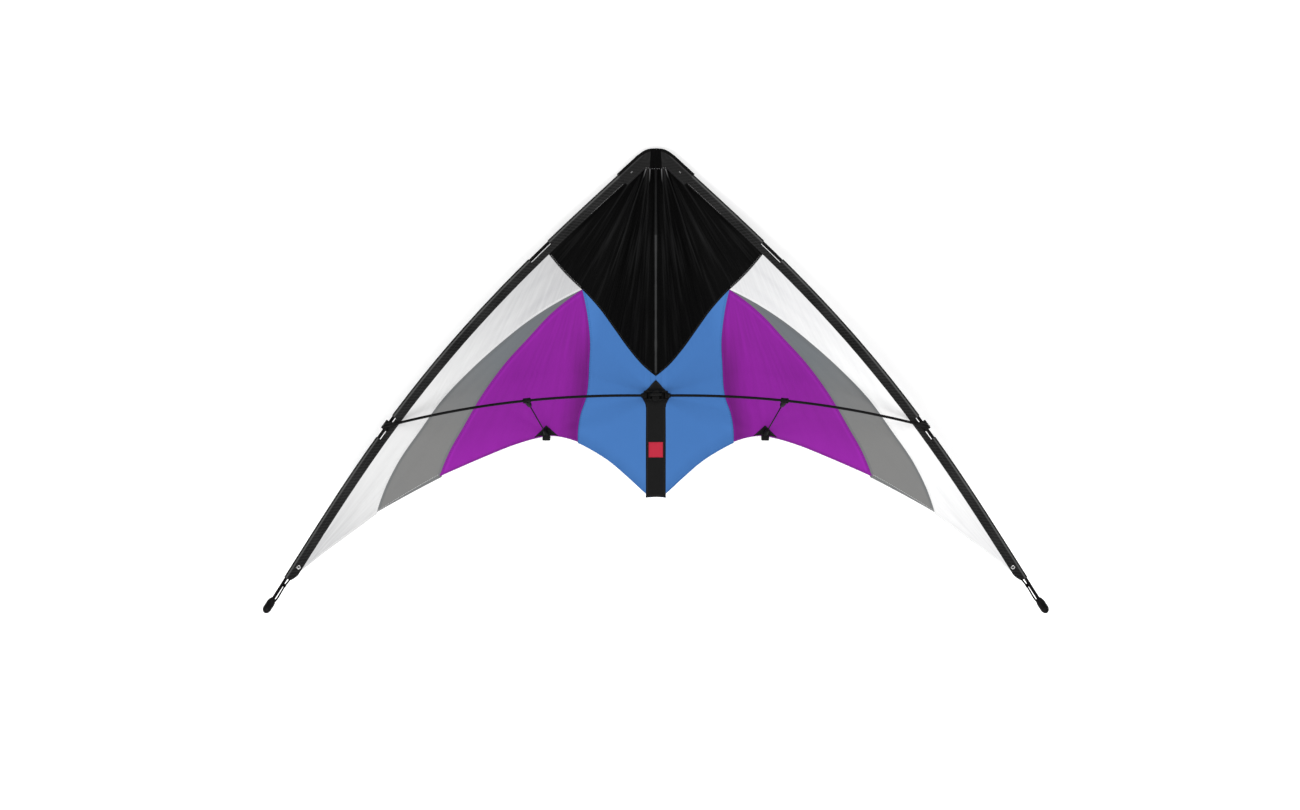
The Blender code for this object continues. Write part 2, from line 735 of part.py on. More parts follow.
def tip_cord():
    start = passed_at(SLEEVE_END) + 0.4 * MM
    end = passed_at(CAP_TOP) - CLEAR
    first = along_edge(start, 10.6 * MM)[0]
    last = along_edge(end, 8.0 * MM)[0]
    return cylinder((*first, 0), (*last, 0), CORD_RADIUS, 10)


def eyelet_point():
    return along_edge(passed_at(SLEEVE_END) - 17 * MM, 12 * MM)[0]


def eyelet():
    x, y = eyelet_point()
    profile = (
        (1.2 * MM, 1.4 * MM),
        (3.0 * MM, 1.4 * MM),
        (3.3 * MM, 0.9 * MM),
        (1.8 * MM, 0.9 * MM),
        (1.8 * MM, -0.9 * MM),
        (3.3 * MM, -0.9 * MM),
        (3.0 * MM, -1.4 * MM),
        (1.2 * MM, -1.4 * MM),
        (1.2 * MM, 1.4 * MM),
    )
    return turned(profile, Matrix.Translation((x, y, 0)), 16)


def nose_centre():
    half = CENTRE_HALF
    outline = [
        (-half, NOSE_LOWER_EDGE),
        (-half, 704.9 * MM),
        (-10.5 * MM, 706.4 * MM),
        (-4 * MM, NOSE_TOP),
        (4 * MM, NOSE_TOP),
        (10.5 * MM, 706.4 * MM),
        (half, 704.9 * MM),
        (half, NOSE_LOWER_EDGE),
    ]
    whole = softened(plate(outline, -7.6 * MM, NOSE_HALF_THICK), 1.0 * MM)
    top = SPINE_ENDS[1] + 1 * MM
    return cut(whole, cylinder((0, 660 * MM, SPINE_BACK), (0, top, SPINE_BACK), SPINE_RADIUS + CLEAR, 16))


def spine_rod():
    low, high = SPINE_ENDS
    return cylinder((0, low, SPINE_BACK), (0, high, SPINE_BACK), SPINE_RADIUS, 16)


def pocketed(sheet, low, high, closed_end=0.0):
    """A sheet with the spine's tunnel on its back."""
    wall = SPINE_RADIUS + CLEAR + 0.8 * MM
    tunnel = cylinder((0, low, SPINE_BACK), (0, high, SPINE_BACK), wall, 16)
    bridge = box((-wall, low, SPINE_BACK), (wall, high, -0.1 * MM))
    whole = joined(sheet, tunnel, bridge)
    way_low = low + closed_end if closed_end else low - 10 * MM
    way = cylinder((0, way_low, SPINE_BACK), (0, high + 10 * MM, SPINE_BACK), SPINE_RADIUS + CLEAR, 16)
    return cut(whole, way)


def upper_centre_panel():
    half = CENTRE_HALF
    top = NOSE_LOWER_EDGE - CLEAR
    side = BLACK_EDGE_INNER[-1][1] * MM
    outline = [(-half, top), (-half, side), (0, 360.2 * MM), (half, side), (half, top)]
    return pocketed(plate(outline, -0.35 * MM, 0.35 * MM), 378 * MM, top)


def around_hub(low, high_side, tip, thin_low, thin_high):
    """A flat piece on both sides of the hub, joined above it."""
    half = CENTRE_HALF
    slot = BOSS_HALF + CLEAR
    roof = HUB_HEIGHT + HUB_HALF_LENGTH + 0.6 * MM
    outline = [
        (-half, low),
        (-slot, low),
        (-slot, roof),
        (slot, roof),
        (slot, low),
        (half, low),
        (half, high_side),
        (0, tip),
        (-half, high_side),
    ]
    return plate(outline, thin_low, thin_high)


def blue_centre_panel():
    side = BLACK_EDGE_INNER[-1][1] * MM - 0.6 * MM
    return around_hub(STRIP_ENDS[1] + CLEAR, side, 359.6 * MM, -0.35 * MM, 0.35 * MM)


def centre_patch():
    return around_hub(STRIP_ENDS[1] + CLEAR, 338.8 * MM, 354.2 * MM, 0.65 * MM, 1.15 * MM)


def centre_strip():
    low, high = STRIP_ENDS
    half = CENTRE_HALF
    outline = [(-half, low), (0, low + 1.2 * MM), (half, low), (half, high), (-half, high)]
    return pocketed(plate(outline, -0.6 * MM, 0.6 * MM), low + 2 * MM, high - 1 * MM, 3.9 * MM)


def label():
    low, high = LABEL_BOX
    return box((*low, 0.9 * MM), (*high, 1.4 * MM))


def hub():
    y = HUB_HEIGHT
    half = HUB_HALF_LENGTH
    boss = softened(box((-BOSS_HALF, y - half, SPINE_BACK), (BOSS_HALF, y + half, 9 * MM)), 1.2 * MM)
    ring = half - 0.3 * MM
    clamp = cylinder((0, y - ring, SPINE_BACK), (0, y + ring, SPINE_BACK), 5.4 * MM, 20)
    base = box((-12.8 * MM, y - half + 0.6 * MM, 1.45 * MM), (12.8 * MM, y + half - 0.6 * MM, 3.6 * MM))
    pieces = [boss, clamp, base]
    for end in (-1, 1):
        inner = y + end * (KNUCKLE_HALF + CLEAR)
        outer = y + end * (half - 0.2 * MM)
        low, high = sorted((inner, outer))
        for side in (-1, 1):
            low_x, high_x = sorted((side * 5 * MM, side * HINGE_X))
            pieces.append(box((low_x, low + 0.1 * MM, 2.1 * MM), (high_x, high - 0.1 * MM, 7.9 * MM)))
            pieces.append(cylinder((side * HINGE_X, low, HINGE_Z), (side * HINGE_X, high, HINGE_Z), 3.2 * MM))
    for side in (-1, 1):
        x = side * HINGE_X
        pieces.append(cylinder((x, y - half + MM, HINGE_Z), (x, y + half - MM, HINGE_Z), PIN_RADIUS, 12))
    way = cylinder((0, y - 20 * MM, SPINE_BACK), (0, y + 20 * MM, SPINE_BACK), SPINE_RADIUS + CLEAR, 16)
    return cut(joined(*pieces), way)


def mirrored(mesh):
    copy = mesh.copy()
    copy.transform(Matrix.Diagonal((-1, 1, 1, 1)))
    copy.flip_normals()
    return copy


def empty(name, place, parent=None):
    made = add_object(name, None)
    made.location = place
    made.parent = parent
    return made


def wing_pieces():
    """Name, mesh and material of each piece of the right wing."""
    nose_end = passed_at(NOSE_ARM_END) + CLEAR
    upper_notch = [passed_at(height) for height in UPPER_NOTCH]
    lower_notch = [passed_at(height) for height in LOWER_NOTCH]
    last = passed_at(SLEEVE_END)
    past = 3 * MM
    yield "leading_edge_rod", leading_edge_rod(), "rod"
    yield (
        "leading_edge_sleeve_upper",
        sleeve(nose_end, upper_notch[1], (upper_notch[0], upper_notch[1] + past)),
        "webbing",
    )
    yield (
        "leading_edge_sleeve_middle",
        sleeve(upper_notch[1] + CLEAR, lower_notch[1], (lower_notch[0], lower_notch[1] + past)),
        "webbing",
    )
    yield (
        "leading_edge_sleeve_tip",
        sleeve(lower_notch[1] + CLEAR, last, None, eyelet_point()),
        "webbing",
    )
    yield "nose_webbing", nose_webbing(), "webbing"
    yield "leading_edge_connector", edge_connector(), "fitting"
    yield "spreader_socket", spreader_socket(), "fitting"
    yield "spreader_rod", spreader_rod(), "rod"
    yield "standoff_clip", standoff_clip(), "fitting"
    yield "standoff_rod", standoff_rod(), "rod"
    yield "trailing_edge_foot", foot_clip(), "fitting"
    yield "trailing_edge_patch", trailing_edge_patch(), "webbing"
    yield "wing_end_cap", end_cap(), "fitting"
    yield "tip_cord", tip_cord(), "cord"
    yield "eyelet", eyelet(), "eyelet"
    yield "black_panel", black_panel(), "black_cloth"
    yield "white_panel", white_panel(), "white_cloth"
    yield "grey_panel", grey_panel(), "grey_cloth"
    yield "purple_panel", purple_panel(), "purple_cloth"
    yield "blue_panel", blue_panel(), "blue_cloth"


def root_pieces():
    yield "nose_centre", nose_centre(), "webbing"
    yield "spine_rod", spine_rod(), "rod"
    yield "upper_centre_panel", upper_centre_panel(), "black_cloth"
    yield "blue_centre_panel", blue_centre_panel(), "blue_cloth"
    yield "centre_patch", centre_patch(), "webbing"
    yield "centre_strip", centre_strip(), "webbing"
    yield "centre_label", label(), "label"
    yield "hub", hub(), "fitting"


def world_points(names):
    bpy.context.view_layer.update()
    found = []
    for name in names:
        thing = bpy.data.objects[name]
        local = np.empty(len(thing.data.vertices) * 3)
        thing.data.vertices.foreach_get("co", local)
        world = np.array(thing.matrix_world)
        found.append(local.reshape(-1, 3) @ world[:3, :3].T + world[:3, 3])
    return np.concatenate(found)


def lay_down(kite):
    """Turns the kite about x until its nose and its feet are level, then sets the floor under its middle."""
    for _ in range(4):
        nose = world_points(["nose_centre"])
        foot = world_points(["right_trailing_edge_foot"])
        nose_low = nose[nose[:, 2].argmin()]
        foot_low = foot[foot[:, 2].argmin()]
        turn = math.atan2(nose_low[2] - foot_low[2], nose_low[1] - foot_low[1])
        kite.rotation_euler.x -= turn
    points = world_points([thing.name for thing in kite_parts.objects if thing.type == "MESH"])
    low = points.min(axis=0)
    high = points.max(axis=0)
    kite.location = (0, -(low[1] + high[1]) / 2, -low[2])


def build():
    kite = empty("kite", (0, 0, 0))
    hinges = {}
    for side, sign in (("left", -1), ("right", 1)):
        place = (sign * HINGE_X, HUB_HEIGHT, HINGE_Z)
        hinges[side] = (empty(f"{side}_wing_hinge", place, kite), place)
    for name, mesh, kind in root_pieces():
        finish_piece(name, mesh, kind, kite, (0, 0, 0))
    for name, mesh, kind in wing_pieces():
        finish_piece(f"left_{name}", mirrored(mesh), kind, *hinges["left"])
        finish_piece(f"right_{name}", mesh, kind, *hinges["right"])
    lay_down(kite)
    bpy.context.view_layer.update()


build()
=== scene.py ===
import json
import math

import bmesh
import bpy
import numpy as np
from mathutils import Matrix, Vector


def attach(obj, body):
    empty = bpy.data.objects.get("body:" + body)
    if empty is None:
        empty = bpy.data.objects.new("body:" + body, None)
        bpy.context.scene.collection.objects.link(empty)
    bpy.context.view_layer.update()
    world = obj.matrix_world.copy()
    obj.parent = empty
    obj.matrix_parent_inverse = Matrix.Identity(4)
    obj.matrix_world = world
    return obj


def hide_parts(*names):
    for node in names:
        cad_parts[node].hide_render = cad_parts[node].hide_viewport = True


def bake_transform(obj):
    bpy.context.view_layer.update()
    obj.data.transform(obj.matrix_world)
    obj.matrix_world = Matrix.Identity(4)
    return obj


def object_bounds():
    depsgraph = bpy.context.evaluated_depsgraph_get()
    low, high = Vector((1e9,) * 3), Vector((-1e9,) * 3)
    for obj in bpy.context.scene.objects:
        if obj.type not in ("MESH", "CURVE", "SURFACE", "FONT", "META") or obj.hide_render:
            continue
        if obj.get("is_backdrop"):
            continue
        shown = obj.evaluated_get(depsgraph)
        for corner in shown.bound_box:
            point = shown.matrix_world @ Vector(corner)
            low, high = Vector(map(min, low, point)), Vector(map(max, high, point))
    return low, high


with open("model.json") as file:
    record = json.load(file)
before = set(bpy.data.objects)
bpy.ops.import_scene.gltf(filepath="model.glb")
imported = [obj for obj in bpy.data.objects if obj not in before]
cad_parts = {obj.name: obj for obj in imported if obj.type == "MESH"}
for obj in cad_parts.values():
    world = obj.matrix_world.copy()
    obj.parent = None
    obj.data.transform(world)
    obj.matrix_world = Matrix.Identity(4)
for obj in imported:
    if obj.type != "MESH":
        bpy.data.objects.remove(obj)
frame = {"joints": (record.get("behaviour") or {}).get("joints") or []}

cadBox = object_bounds()
wings = ("left", "right")
print("kite: the packed model is loaded")

# The kite's own frame, in millimetres: x to the right, y to the nose, z to the front. The fold joint gives
# its place and tilt, because its axis runs along y through this point.
hinge = {"x": 15.6, "y": 330.6, "z": 5.0}
foldJoint = next(joint for joint in frame["joints"] if joint["name"] == "left_wing_fold")
kiteUp = np.array(foldJoint["axis"], float) / np.linalg.norm(foldJoint["axis"])
kiteAxes = np.stack([(1, 0, 0), kiteUp, np.cross((1, 0, 0), kiteUp)])
kiteOrigin = np.array(foldJoint["pos_m"]) - 0.001 * np.array((-hinge["x"], hinge["y"], hinge["z"])) @ kiteAxes


def placed(points):  # kite millimetres to the frame's metres: the origin plus the axes scaled by them
    return kiteOrigin + 0.001 * np.asarray(points, float) @ kiteAxes


# The camera's picture, the kite's middle and lowest line in it, its scale, and how far off it is taken from.
photo = {"width": 1300, "height": 810, "middleColumn": 655.8, "baseRow": 612.6, "mmPerPixel": 1.5228,
         "distance": 12000.0, "sensor": 36.0}


def setCamera():
    scale = photo["mmPerPixel"]
    x = (photo["width"] / 2 - photo["middleColumn"]) * scale
    y = (photo["baseRow"] - photo["height"] / 2) * scale
    data = bpy.data.cameras.new("camera")
    data.sensor_width = photo["sensor"]
    data.lens = photo["sensor"] * photo["distance"] / (photo["width"] * scale)
    data.clip_end = 100
    thing = addObject("camera", data)
    turn = Matrix(kiteAxes.tolist()).transposed().to_4x4()
    thing.matrix_world = Matrix.Translation(placed((x, y, photo["distance"]))) @ turn
    bpy.context.scene.camera = thing


def addObject(name, data):
    thing = bpy.data.objects.new(name, data)
    bpy.context.scene.collection.objects.link(thing)
    return thing


setCamera()


# Mesh making


def unit(values):
    return values / np.maximum(np.linalg.norm(values, axis=-1, keepdims=True), 1e-9)


def lengthsAlong(line):  # how far along a line each of its points is
    return np.r_[0, np.cumsum(np.linalg.norm(np.diff(line, axis=0), axis=1))]


def readOff(places, at, values):  # each column read off between the places where it is known
    return np.stack([np.interp(places, at, column) for column in np.transpose(values)], axis=-1)


def flatGrid(x, y):
    return np.stack(np.meshgrid(x, y), axis=-1)


# Quads of a grid of points: each cell joins four neighbours, and a closed direction wraps round.
def gridQuads(rows, columns, closed=False, first=0):
    down = np.arange(rows - 1)[:, None] * columns
    over = np.arange(columns if closed else columns - 1)[None]
    after = (over + 1) % columns
    corners = (down + over, down + after, down + columns + after, down + columns + over)
    return first + np.stack(corners, axis=-1).reshape(-1, 4)


def fanTriangles(ring, centre):  # from a centre point to each side of a closed ring
    return np.stack([ring, np.roll(ring, -1), np.full(len(ring), centre)], axis=-1)


# Groups of triangles and quads over one set of points, as one mesh with its faces turned outwards.
def meshFrom(name, points, groups, closed=True):
    mesh = bpy.data.meshes.new(name)
    corners = np.concatenate([group.ravel() for group in groups])
    sizes = np.concatenate([np.full(len(group), group.shape[1]) for group in groups])
    mesh.vertices.add(len(points))
    mesh.vertices.foreach_set("co", placed(points).astype(np.float32).ravel())
    mesh.loops.add(len(corners))
    mesh.loops.foreach_set("vertex_index", corners.astype(np.int32))
    mesh.polygons.add(len(sizes))
    mesh.polygons.foreach_set("loop_start", np.r_[0, np.cumsum(sizes)[:-1]].astype(np.int32))
    mesh.update(calc_edges=True)
    if closed:
        shape = bmesh.new()
        shape.from_mesh(mesh)
        bmesh.ops.remove_doubles(shape, verts=shape.verts, dist=1e-6)
        bmesh.ops.recalc_face_normals(shape, faces=shape.faces)
        shape.to_mesh(mesh)
        shape.free()
    mesh.shade_smooth()
    mesh.set_sharp_from_angle(angle=math.radians(38))
    return mesh


def kitePoints(mesh):  # a mesh's vertices in kite millimetres
    points = np.empty(len(mesh.vertices) * 3, np.float32)
    mesh.vertices.foreach_get("co", points)
    return 1000 * (points.reshape(-1, 3) - kiteOrigin) @ kiteAxes.T


def keepOn(mesh, name, values, kind="FLOAT", key="value"):  # values on the vertices, for a material
    mesh.attributes.new(name, kind, "POINT").data.foreach_set(key, np.asarray(values, np.float32).ravel())


def mirrored(points, side):
    return np.asarray(points) * (-1 if side == "left" else 1, 1, 1)


# One mesh from several shapes, each a pair of points and face groups, mirrored for the left wing.
def meshOf(name, shapes, side="right"):
    points, groups = np.empty((0, 3)), []
    for part, faces in shapes:
        groups += [group + len(points) for group in faces]
        points = np.concatenate([points, mirrored(part, side)])
    return meshFrom(name, points, groups)


# A closed bar from a grid of sections: their points joined in quads, and a fan over each end.
def barShape(grid):
    rows, columns = grid.shape[:2]
    points = np.concatenate([grid.reshape(-1, 3), grid[[0, -1]].mean(axis=1)])
    ring, total = np.arange(columns), rows * columns
    fans = fanTriangles(ring, total), fanTriangles(ring + total - columns, total + 1)
    return points, [gridQuads(rows, columns, True), *fans]


# A hollow bar from two grids of sections, outside and hole, joined at both ends.
def hollowShape(outside, hole):
    rows, columns = outside.shape[:2]
    total = rows * columns
    groups = [gridQuads(rows, columns, True), gridQuads(rows, columns, True, total)]
    for outer in (np.arange(columns), np.arange(total - columns, total)):
        inner = outer + total
        groups.append(np.stack([outer, np.roll(outer, -1), np.roll(inner, -1), inner], axis=-1))
    return np.concatenate([outside.reshape(-1, 3), hole.reshape(-1, 3)]), groups


# Sections carried along a path: each section's first value goes sideways and its second along the lift,
# which is the given direction made square to the path.
def carried(path, sections, lift=(0, 0, 1)):
    path = np.asarray(path, float)
    ahead = unit(np.gradient(path, axis=0))
    side = unit(np.cross(ahead, np.broadcast_to(lift, ahead.shape)))
    rise = np.cross(side, ahead)
    sections = np.broadcast_to(sections, (len(path), *np.shape(sections)[-2:]))
    return path[:, None] + sections[..., :1] * side[:, None] + sections[..., 1:] * rise[:, None]


# A bar of varying section along a path: outlines of half widths a and b, round at power 2 and squarer
# above it. Widths may be one number or as many as the path's points.
def loft(path, a, b=None, power=2.0, sides=24, lift=(0, 0, 1)):
    angle = np.linspace(0, 2 * np.pi, sides, endpoint=False)
    ring = np.stack([np.cos(angle), np.sin(angle)], axis=-1)
    ring = ring * (np.abs(ring) ** power).sum(axis=-1, keepdims=True) ** (-1 / power)
    widths = np.stack([np.broadcast_to(width, len(path)) for width in (a, a if b is None else b)], axis=-1)
    return carried(path, ring[None] * widths[:, None], lift)


def straightPath(start, toward, distances):
    start = np.asarray(start, float)
    return start + np.asarray(distances, float)[:, None] * unit(np.asarray(toward, float) - start)


# A turned piece on a straight axis, from (distance, radius) pairs along its outside, with a hole or none.
def turned(start, toward, profile, hole=None, sides=28, lift=(0, 0, 1)):
    profile = np.array(profile, float)
    profile[1:, 0] += 1e-4 * np.arange(1, len(profile))
    path = straightPath(start, toward, profile[:, 0])
    outside = loft(path, profile[:, 1], sides=sides, lift=lift)
    return hollowShape(outside, loft(path, hole, sides=sides, lift=lift)) if hole else barShape(outside)


# A rod with rounded ends: its radius falls along a quarter circle over the last stretch.
def rodShape(path, radius, sides=20, rounding=0.35):
    along = lengthsAlong(path)
    soft = radius * rounding
    extra = soft * np.array((0, 0.12, 0.4, 1.0))
    between = along[(along > soft * 1.5) & (along < along[-1] - soft * 1.5)]
    stations = np.unique(np.concatenate([extra, between, along[-1] - extra]))
    gap = np.minimum(np.minimum(stations, along[-1] - stations) / soft, 1)
    radii = radius - soft * (1 - np.sqrt(1 - (1 - gap) ** 2))
    return barShape(loft(readOff(stations, along, path), radii, sides=sides))


print("kite: the mesh tools are ready")


# Plan of the kite


# A smooth line through points: a cubic between each pair, at even steps of its length.
def smoothLine(points, step=2.0):
    points = np.array(points, float)
    at = np.r_[0, np.cumsum(np.hypot(*np.diff(points, axis=0).T))]
    slopes = np.gradient(points, at, axis=0, edge_order=2 if len(points) > 2 else 1)
    fine = np.linspace(0, at[-1], max(8, int(at[-1] / step) * 4))
    index = np.clip(np.searchsorted(at, fine, side="right") - 1, 0, len(points) - 2)
    span = (at[index + 1] - at[index])[:, None]
    share = (fine - at[index])[:, None] / span
    square, cube = share**2, share**3
    curve = ((2 * cube - 3 * square + 1) * points[index] + (cube - 2 * square + share) * span * slopes[index]
             + (3 * square - 2 * cube) * points[index + 1] + (cube - square) * span * slopes[index + 1])
    return evenly(curve, max(2, round(at[-1] / step)))


def evenly(line, pieces):  # a line again, with that many pieces of equal length
    at = lengthsAlong(line)
    return readOff(np.linspace(0, at[-1], pieces + 1), at, line)


def shifted(line, distance):  # a line moved to the right of its own direction
    ahead = unit(np.gradient(line, axis=0))
    return line + distance * np.stack([ahead[:, 1], -ahead[:, 0]], axis=-1)


# The outer line of the leading edge's sleeve. Its heading below level is a cubic in the share of its length.
edge = {"start": (24.2, 697.7), "length": 930.0, "heading": (42.9, -8.6, 76.3, -53.8), "samples": 931}
# Heights of the places along it.
marks = {"noseArmEnd": 666.4, "upperNotch": (566.5, 538.2), "lowerNotch": (300.4, 267.9),
         "blackCorner": 557.5, "connector": 286.4, "sleeveEnd": 54.5, "capTop": 22.0}
sleeve = {"rodInset": 3.6, "width": 16.7}
centre = {"half": 15.3, "spineBack": -4.0, "stripLow": 174.8, "stripHigh": 319.4, "hubHeight": 330.6}
edgePassed = np.linspace(0, edge["length"], edge["samples"])
edgeHeading = np.radians(np.polyval(edge["heading"][::-1], edgePassed / edge["length"]))
edgeAhead = np.stack([np.cos(edgeHeading), -np.sin(edgeHeading)], axis=-1)
edgeSteps = (edgeAhead[1:] + edgeAhead[:-1]) / 2 * edgePassed[1]
edgePoints = np.array(edge["start"]) + np.r_[[[0, 0]], np.cumsum(edgeSteps, axis=0)]


def passedAt(height):  # how far along the leading edge its outer line is at a height
    return float(np.interp(-height, -edgePoints[:, 1], edgePassed))


# Points beside the leading edge: the outer line, moved in square to it by the inset.
def alongEdge(passed, inset):
    passed = np.atleast_1d(passed)
    ahead = readOff(passed, edgePassed, edgeAhead)
    inwards = np.stack([ahead[:, 1], -ahead[:, 0]], axis=-1)
    return readOff(passed, edgePassed, edgePoints) + np.reshape(inset, (-1, 1)) * inwards


def edgeLift(passed, inset):
    return np.pad(alongEdge(passed, inset), ((0, 0), (0, 1)))


def edgeRun(start, end, inset, step=2.4):
    return alongEdge(np.linspace(start, end, max(2, round((end - start) / step)) + 1), inset)


# Distance from points to a line, and how far along it the nearest point is: the nearest of the line's points,
# then the offset along the line there. The points are worked through in blocks.
def nearLine(x, y, line, block=4000):
    x, y = np.broadcast_arrays(x, y)
    flat = np.stack([x.ravel(), y.ravel()], axis=-1)
    at = lengthsAlong(line)
    ahead = unit(np.gradient(line, axis=0))
    results = []
    for points in np.split(flat, range(block, len(flat), block)):
        nearest = ((points[:, None] - line[None]) ** 2).sum(axis=-1).argmin(axis=1)
        along = ((points - line[nearest]) * ahead[nearest]).sum(axis=-1)
        along = np.clip(along, -at[nearest], at[-1] - at[nearest])
        foot = line[nearest] + along[:, None] * ahead[nearest]
        results.append((np.linalg.norm(points - foot, axis=1), at[nearest] + along))
    return [np.concatenate(values).reshape(x.shape) for values in zip(*results)]


# The seams and hems of the right wing, as points on smooth lines.
apex = (112.5, 492.4)
blackCorner = alongEdge(passedAt(marks["blackCorner"]), sleeve["width"])[0]
seams = {
    "blackInner": (apex, (84.0, 461.0), (62.0, 430.5), (40.0, 400.0), (15.9, 372.8), (0.0, 360.2)),
    "blackOuter": (blackCorner, (128.0, 506.5), apex),
    "white": (apex, (163.5, 464.9), (195.7, 443.4), (238.3, 409.3), (281.1, 370.8), (326.0, 323.7),
              (358.9, 278.1), (394.0, 226.7), (416.0, 181.0), (426.1, 149.8)),
    "grey": (apex, (159.3, 456.2), (195.7, 417.5), (227.7, 382.6), (261.9, 336.7), (295.6, 279.6),
             (314.2, 247.0), (330.4, 206.9)),
    "purple": (apex, (103.7, 447.7), (100.5, 413.6), (101.7, 379.3), (106.9, 325.9), (114.8, 302.9),
               (119.1, 258.2)),
}
hems = {
    "blue": ((119.1, 258.2), (99.7, 248.2), (71.7, 230.7), (41.4, 205.0), (15.9, 181.7), (6.0, 173.6)),
    "purpleInner": ((119.1, 258.2), (135.0, 264.0), (151.1, 267.6), (167.2, 268.9)),
    "purpleOuter": ((167.2, 268.9), (181.4, 265.9), (220.9, 254.0), (258.3, 238.8), (293.1, 223.7),
                    (330.4, 206.9)),
    "grey": ((330.4, 206.9), (378.0, 179.5), (426.1, 149.8)),
    "white": ((426.1, 149.8), (463.8, 121.1), (494.9, 97.8), (518.2, 79.2), (536.0, 65.0)),
}
seams, hems = ({name: smoothLine(points) for name, points in lines.items()} for lines in (seams, hems))


def joined(*lines):  # lines that go on from one another, without the points that they share
    return np.concatenate([lines[0], *(line[1:] for line in lines[1:])])


blackEdge = joined(seams["blackOuter"], seams["blackInner"])
purpleHem = joined(hems["purpleOuter"][::-1], hems["purpleInner"][::-1])
hemLine = joined(hems["blue"][::-1], purpleHem[::-1], hems["grey"], hems["white"])
sail = {
    "depth": 62.0, "billow": 4.0, "softness": 0.5, "inset": 17.0, "foot": (167.4, 272.0),
    "thickness": 0.24, "cell": 2.3, "lap": 3.0, "tuck": 0.5,
    "lifts": {"grey": -0.3, "white": 0.0, "purple": 0.0, "blue": 0.3, "black": 0.6},
}


# The sail's depth behind its flat middle: the lesser of the shares of the way to the standoff's foot, from
# the strip and from the leading edge, with the crease between them rounded and a small billow added.
def sailDepth(x, y):
    x = np.abs(x)
    footInset = nearLine(*sail["foot"], edgePoints)[0] - sail["inset"]
    fromStrip = np.maximum(x - centre["half"], 0) / (sail["foot"][0] - centre["half"])
    fromEdge = np.maximum(nearLine(x, y, edgePoints)[0] - sail["inset"], 0) / footInset
    reach = sail["softness"] * (fromStrip + fromEdge) / 2 + 1e-9
    roundOff = np.maximum(reach - np.abs(fromStrip - fromEdge), 0) ** 2 / (4 * reach)
    share = (np.minimum(fromStrip, fromEdge) - roundOff) / (1 - sail["softness"] / 4)
    return -sail["depth"] * share - 4 * sail["billow"] * np.clip(share, 0, 1) * (1 - np.clip(share, 0, 1))


def bell(distance, width):  # a bump of 1 at zero that falls off as a bell curve
    return np.exp(-(distance / width) ** 2)


def smoothStep(low, high, value):
    share = np.clip((value - low) / (high - low), 0, 1)
    return share * share * (3 - 2 * share)


# Folds that fan out below the nose: start, angle off the spine in degrees, length, height and width.
noseFolds = (
    (5.4, 0.6, 260.0, -0.7, 3.4), (9.6, 3.2, 120.0, 1.3, 1.3), (13.0, 7.0, 210.0, 0.5, 2.2),
    (16.6, 17.0, 190.0, 1.5, 1.5), (18.5, 11.0, 240.0, 0.55, 2.6), (21.0, 24.0, 210.0, -0.6, 2.4),
    (24.0, 29.5, 230.0, 0.6, 2.4), (30.0, 36.0, 200.0, 0.5, 2.2), (37.0, 41.5, 190.0, -0.6, 2.4),
    (42.0, 44.5, 180.0, 0.6, 2.0),
)
folds = {
    "top": 676.0, "ridge": 1.15, "ridgeWidth": 2.5, "groove": 0.55, "grooveAt": 8.2, "grooveWidth": 3.4,
    # size, length along the seam and reach away from it of each kind of pucker
    "black": (0.5, 6.8, 8.0), "other": (0.13, 9.5, 5.0), "hem": (0.4, 31.0, 12.0),
    # waves beside the leading edge: size, length, slant and phase
    "edge": ((0.75, 37.0, 0.075, 0.4), (0.42, 22.0, -0.05, 1.9), (0.26, 13.0, 0.11, 4.1)),
    "edgeMiddle": 44.0, "edgeSpread": 26.0,
    # fans about the standoff's foot and the tip: centre, reach, start, and waves as size, count and phase
    "fans": (((167.4, 272.0), 95.0, 16.0, ((0.55, 9, 0.6), (0.35, 15, 2.2))),
             ((552.0, 38.0), 110.0, 20.0, ((1.5, 15, 0.4), (0.9, 27, 2.0)))),
}


# Each nose fold is a ray: a bell across it that widens and sinks with the distance passed.
def noseFoldHeight(x, y, shift):
    height = np.zeros_like(x)
    for number, (start, angle, length, rise, width) in enumerate(noseFolds):
        turn = math.radians(angle + 0.9 * math.sin(3.7 * number + shift))
        down, over = folds["top"] - y, x - start
        passed = down * math.cos(turn) + over * math.sin(turn)
        off = over * math.cos(turn) - down * math.sin(turn)
        fade = smoothStep(-6, 8, passed) * np.exp(-np.maximum(passed, 0) / (0.5 * length))
        fade = fade * (1 - smoothStep(0.8 * length, 1.2 * length, passed))
        height += rise * fade * bell(off, width + 0.03 * np.maximum(passed, 0))
    return height


# What the surface and the materials need to know of points on a wing: how far they are from the leading
# edge's outer line, from each seam and from the hem, and how far along each of them.
def placeFields(x, y):
    lines = {"edge": edgePoints, "black": blackEdge, "hem": hemLine}
    lines.update({name: seams[name] for name in ("white", "grey", "purple")})
    return {"depth": sailDepth(x, y), **{name: nearLine(x, y, line) for name, line in lines.items()}}


# Puckers across a seam or hem: a sine along it, drawn unevenly, that fades away from it.
def pucker(kind, field, bent, period, phase):
    size, length, reach = folds[kind]
    away, passed = field
    wave = np.sin(2 * np.pi * passed / length + bent * np.sin(passed / period + phase))
    return size * wave * np.exp(-away / reach)


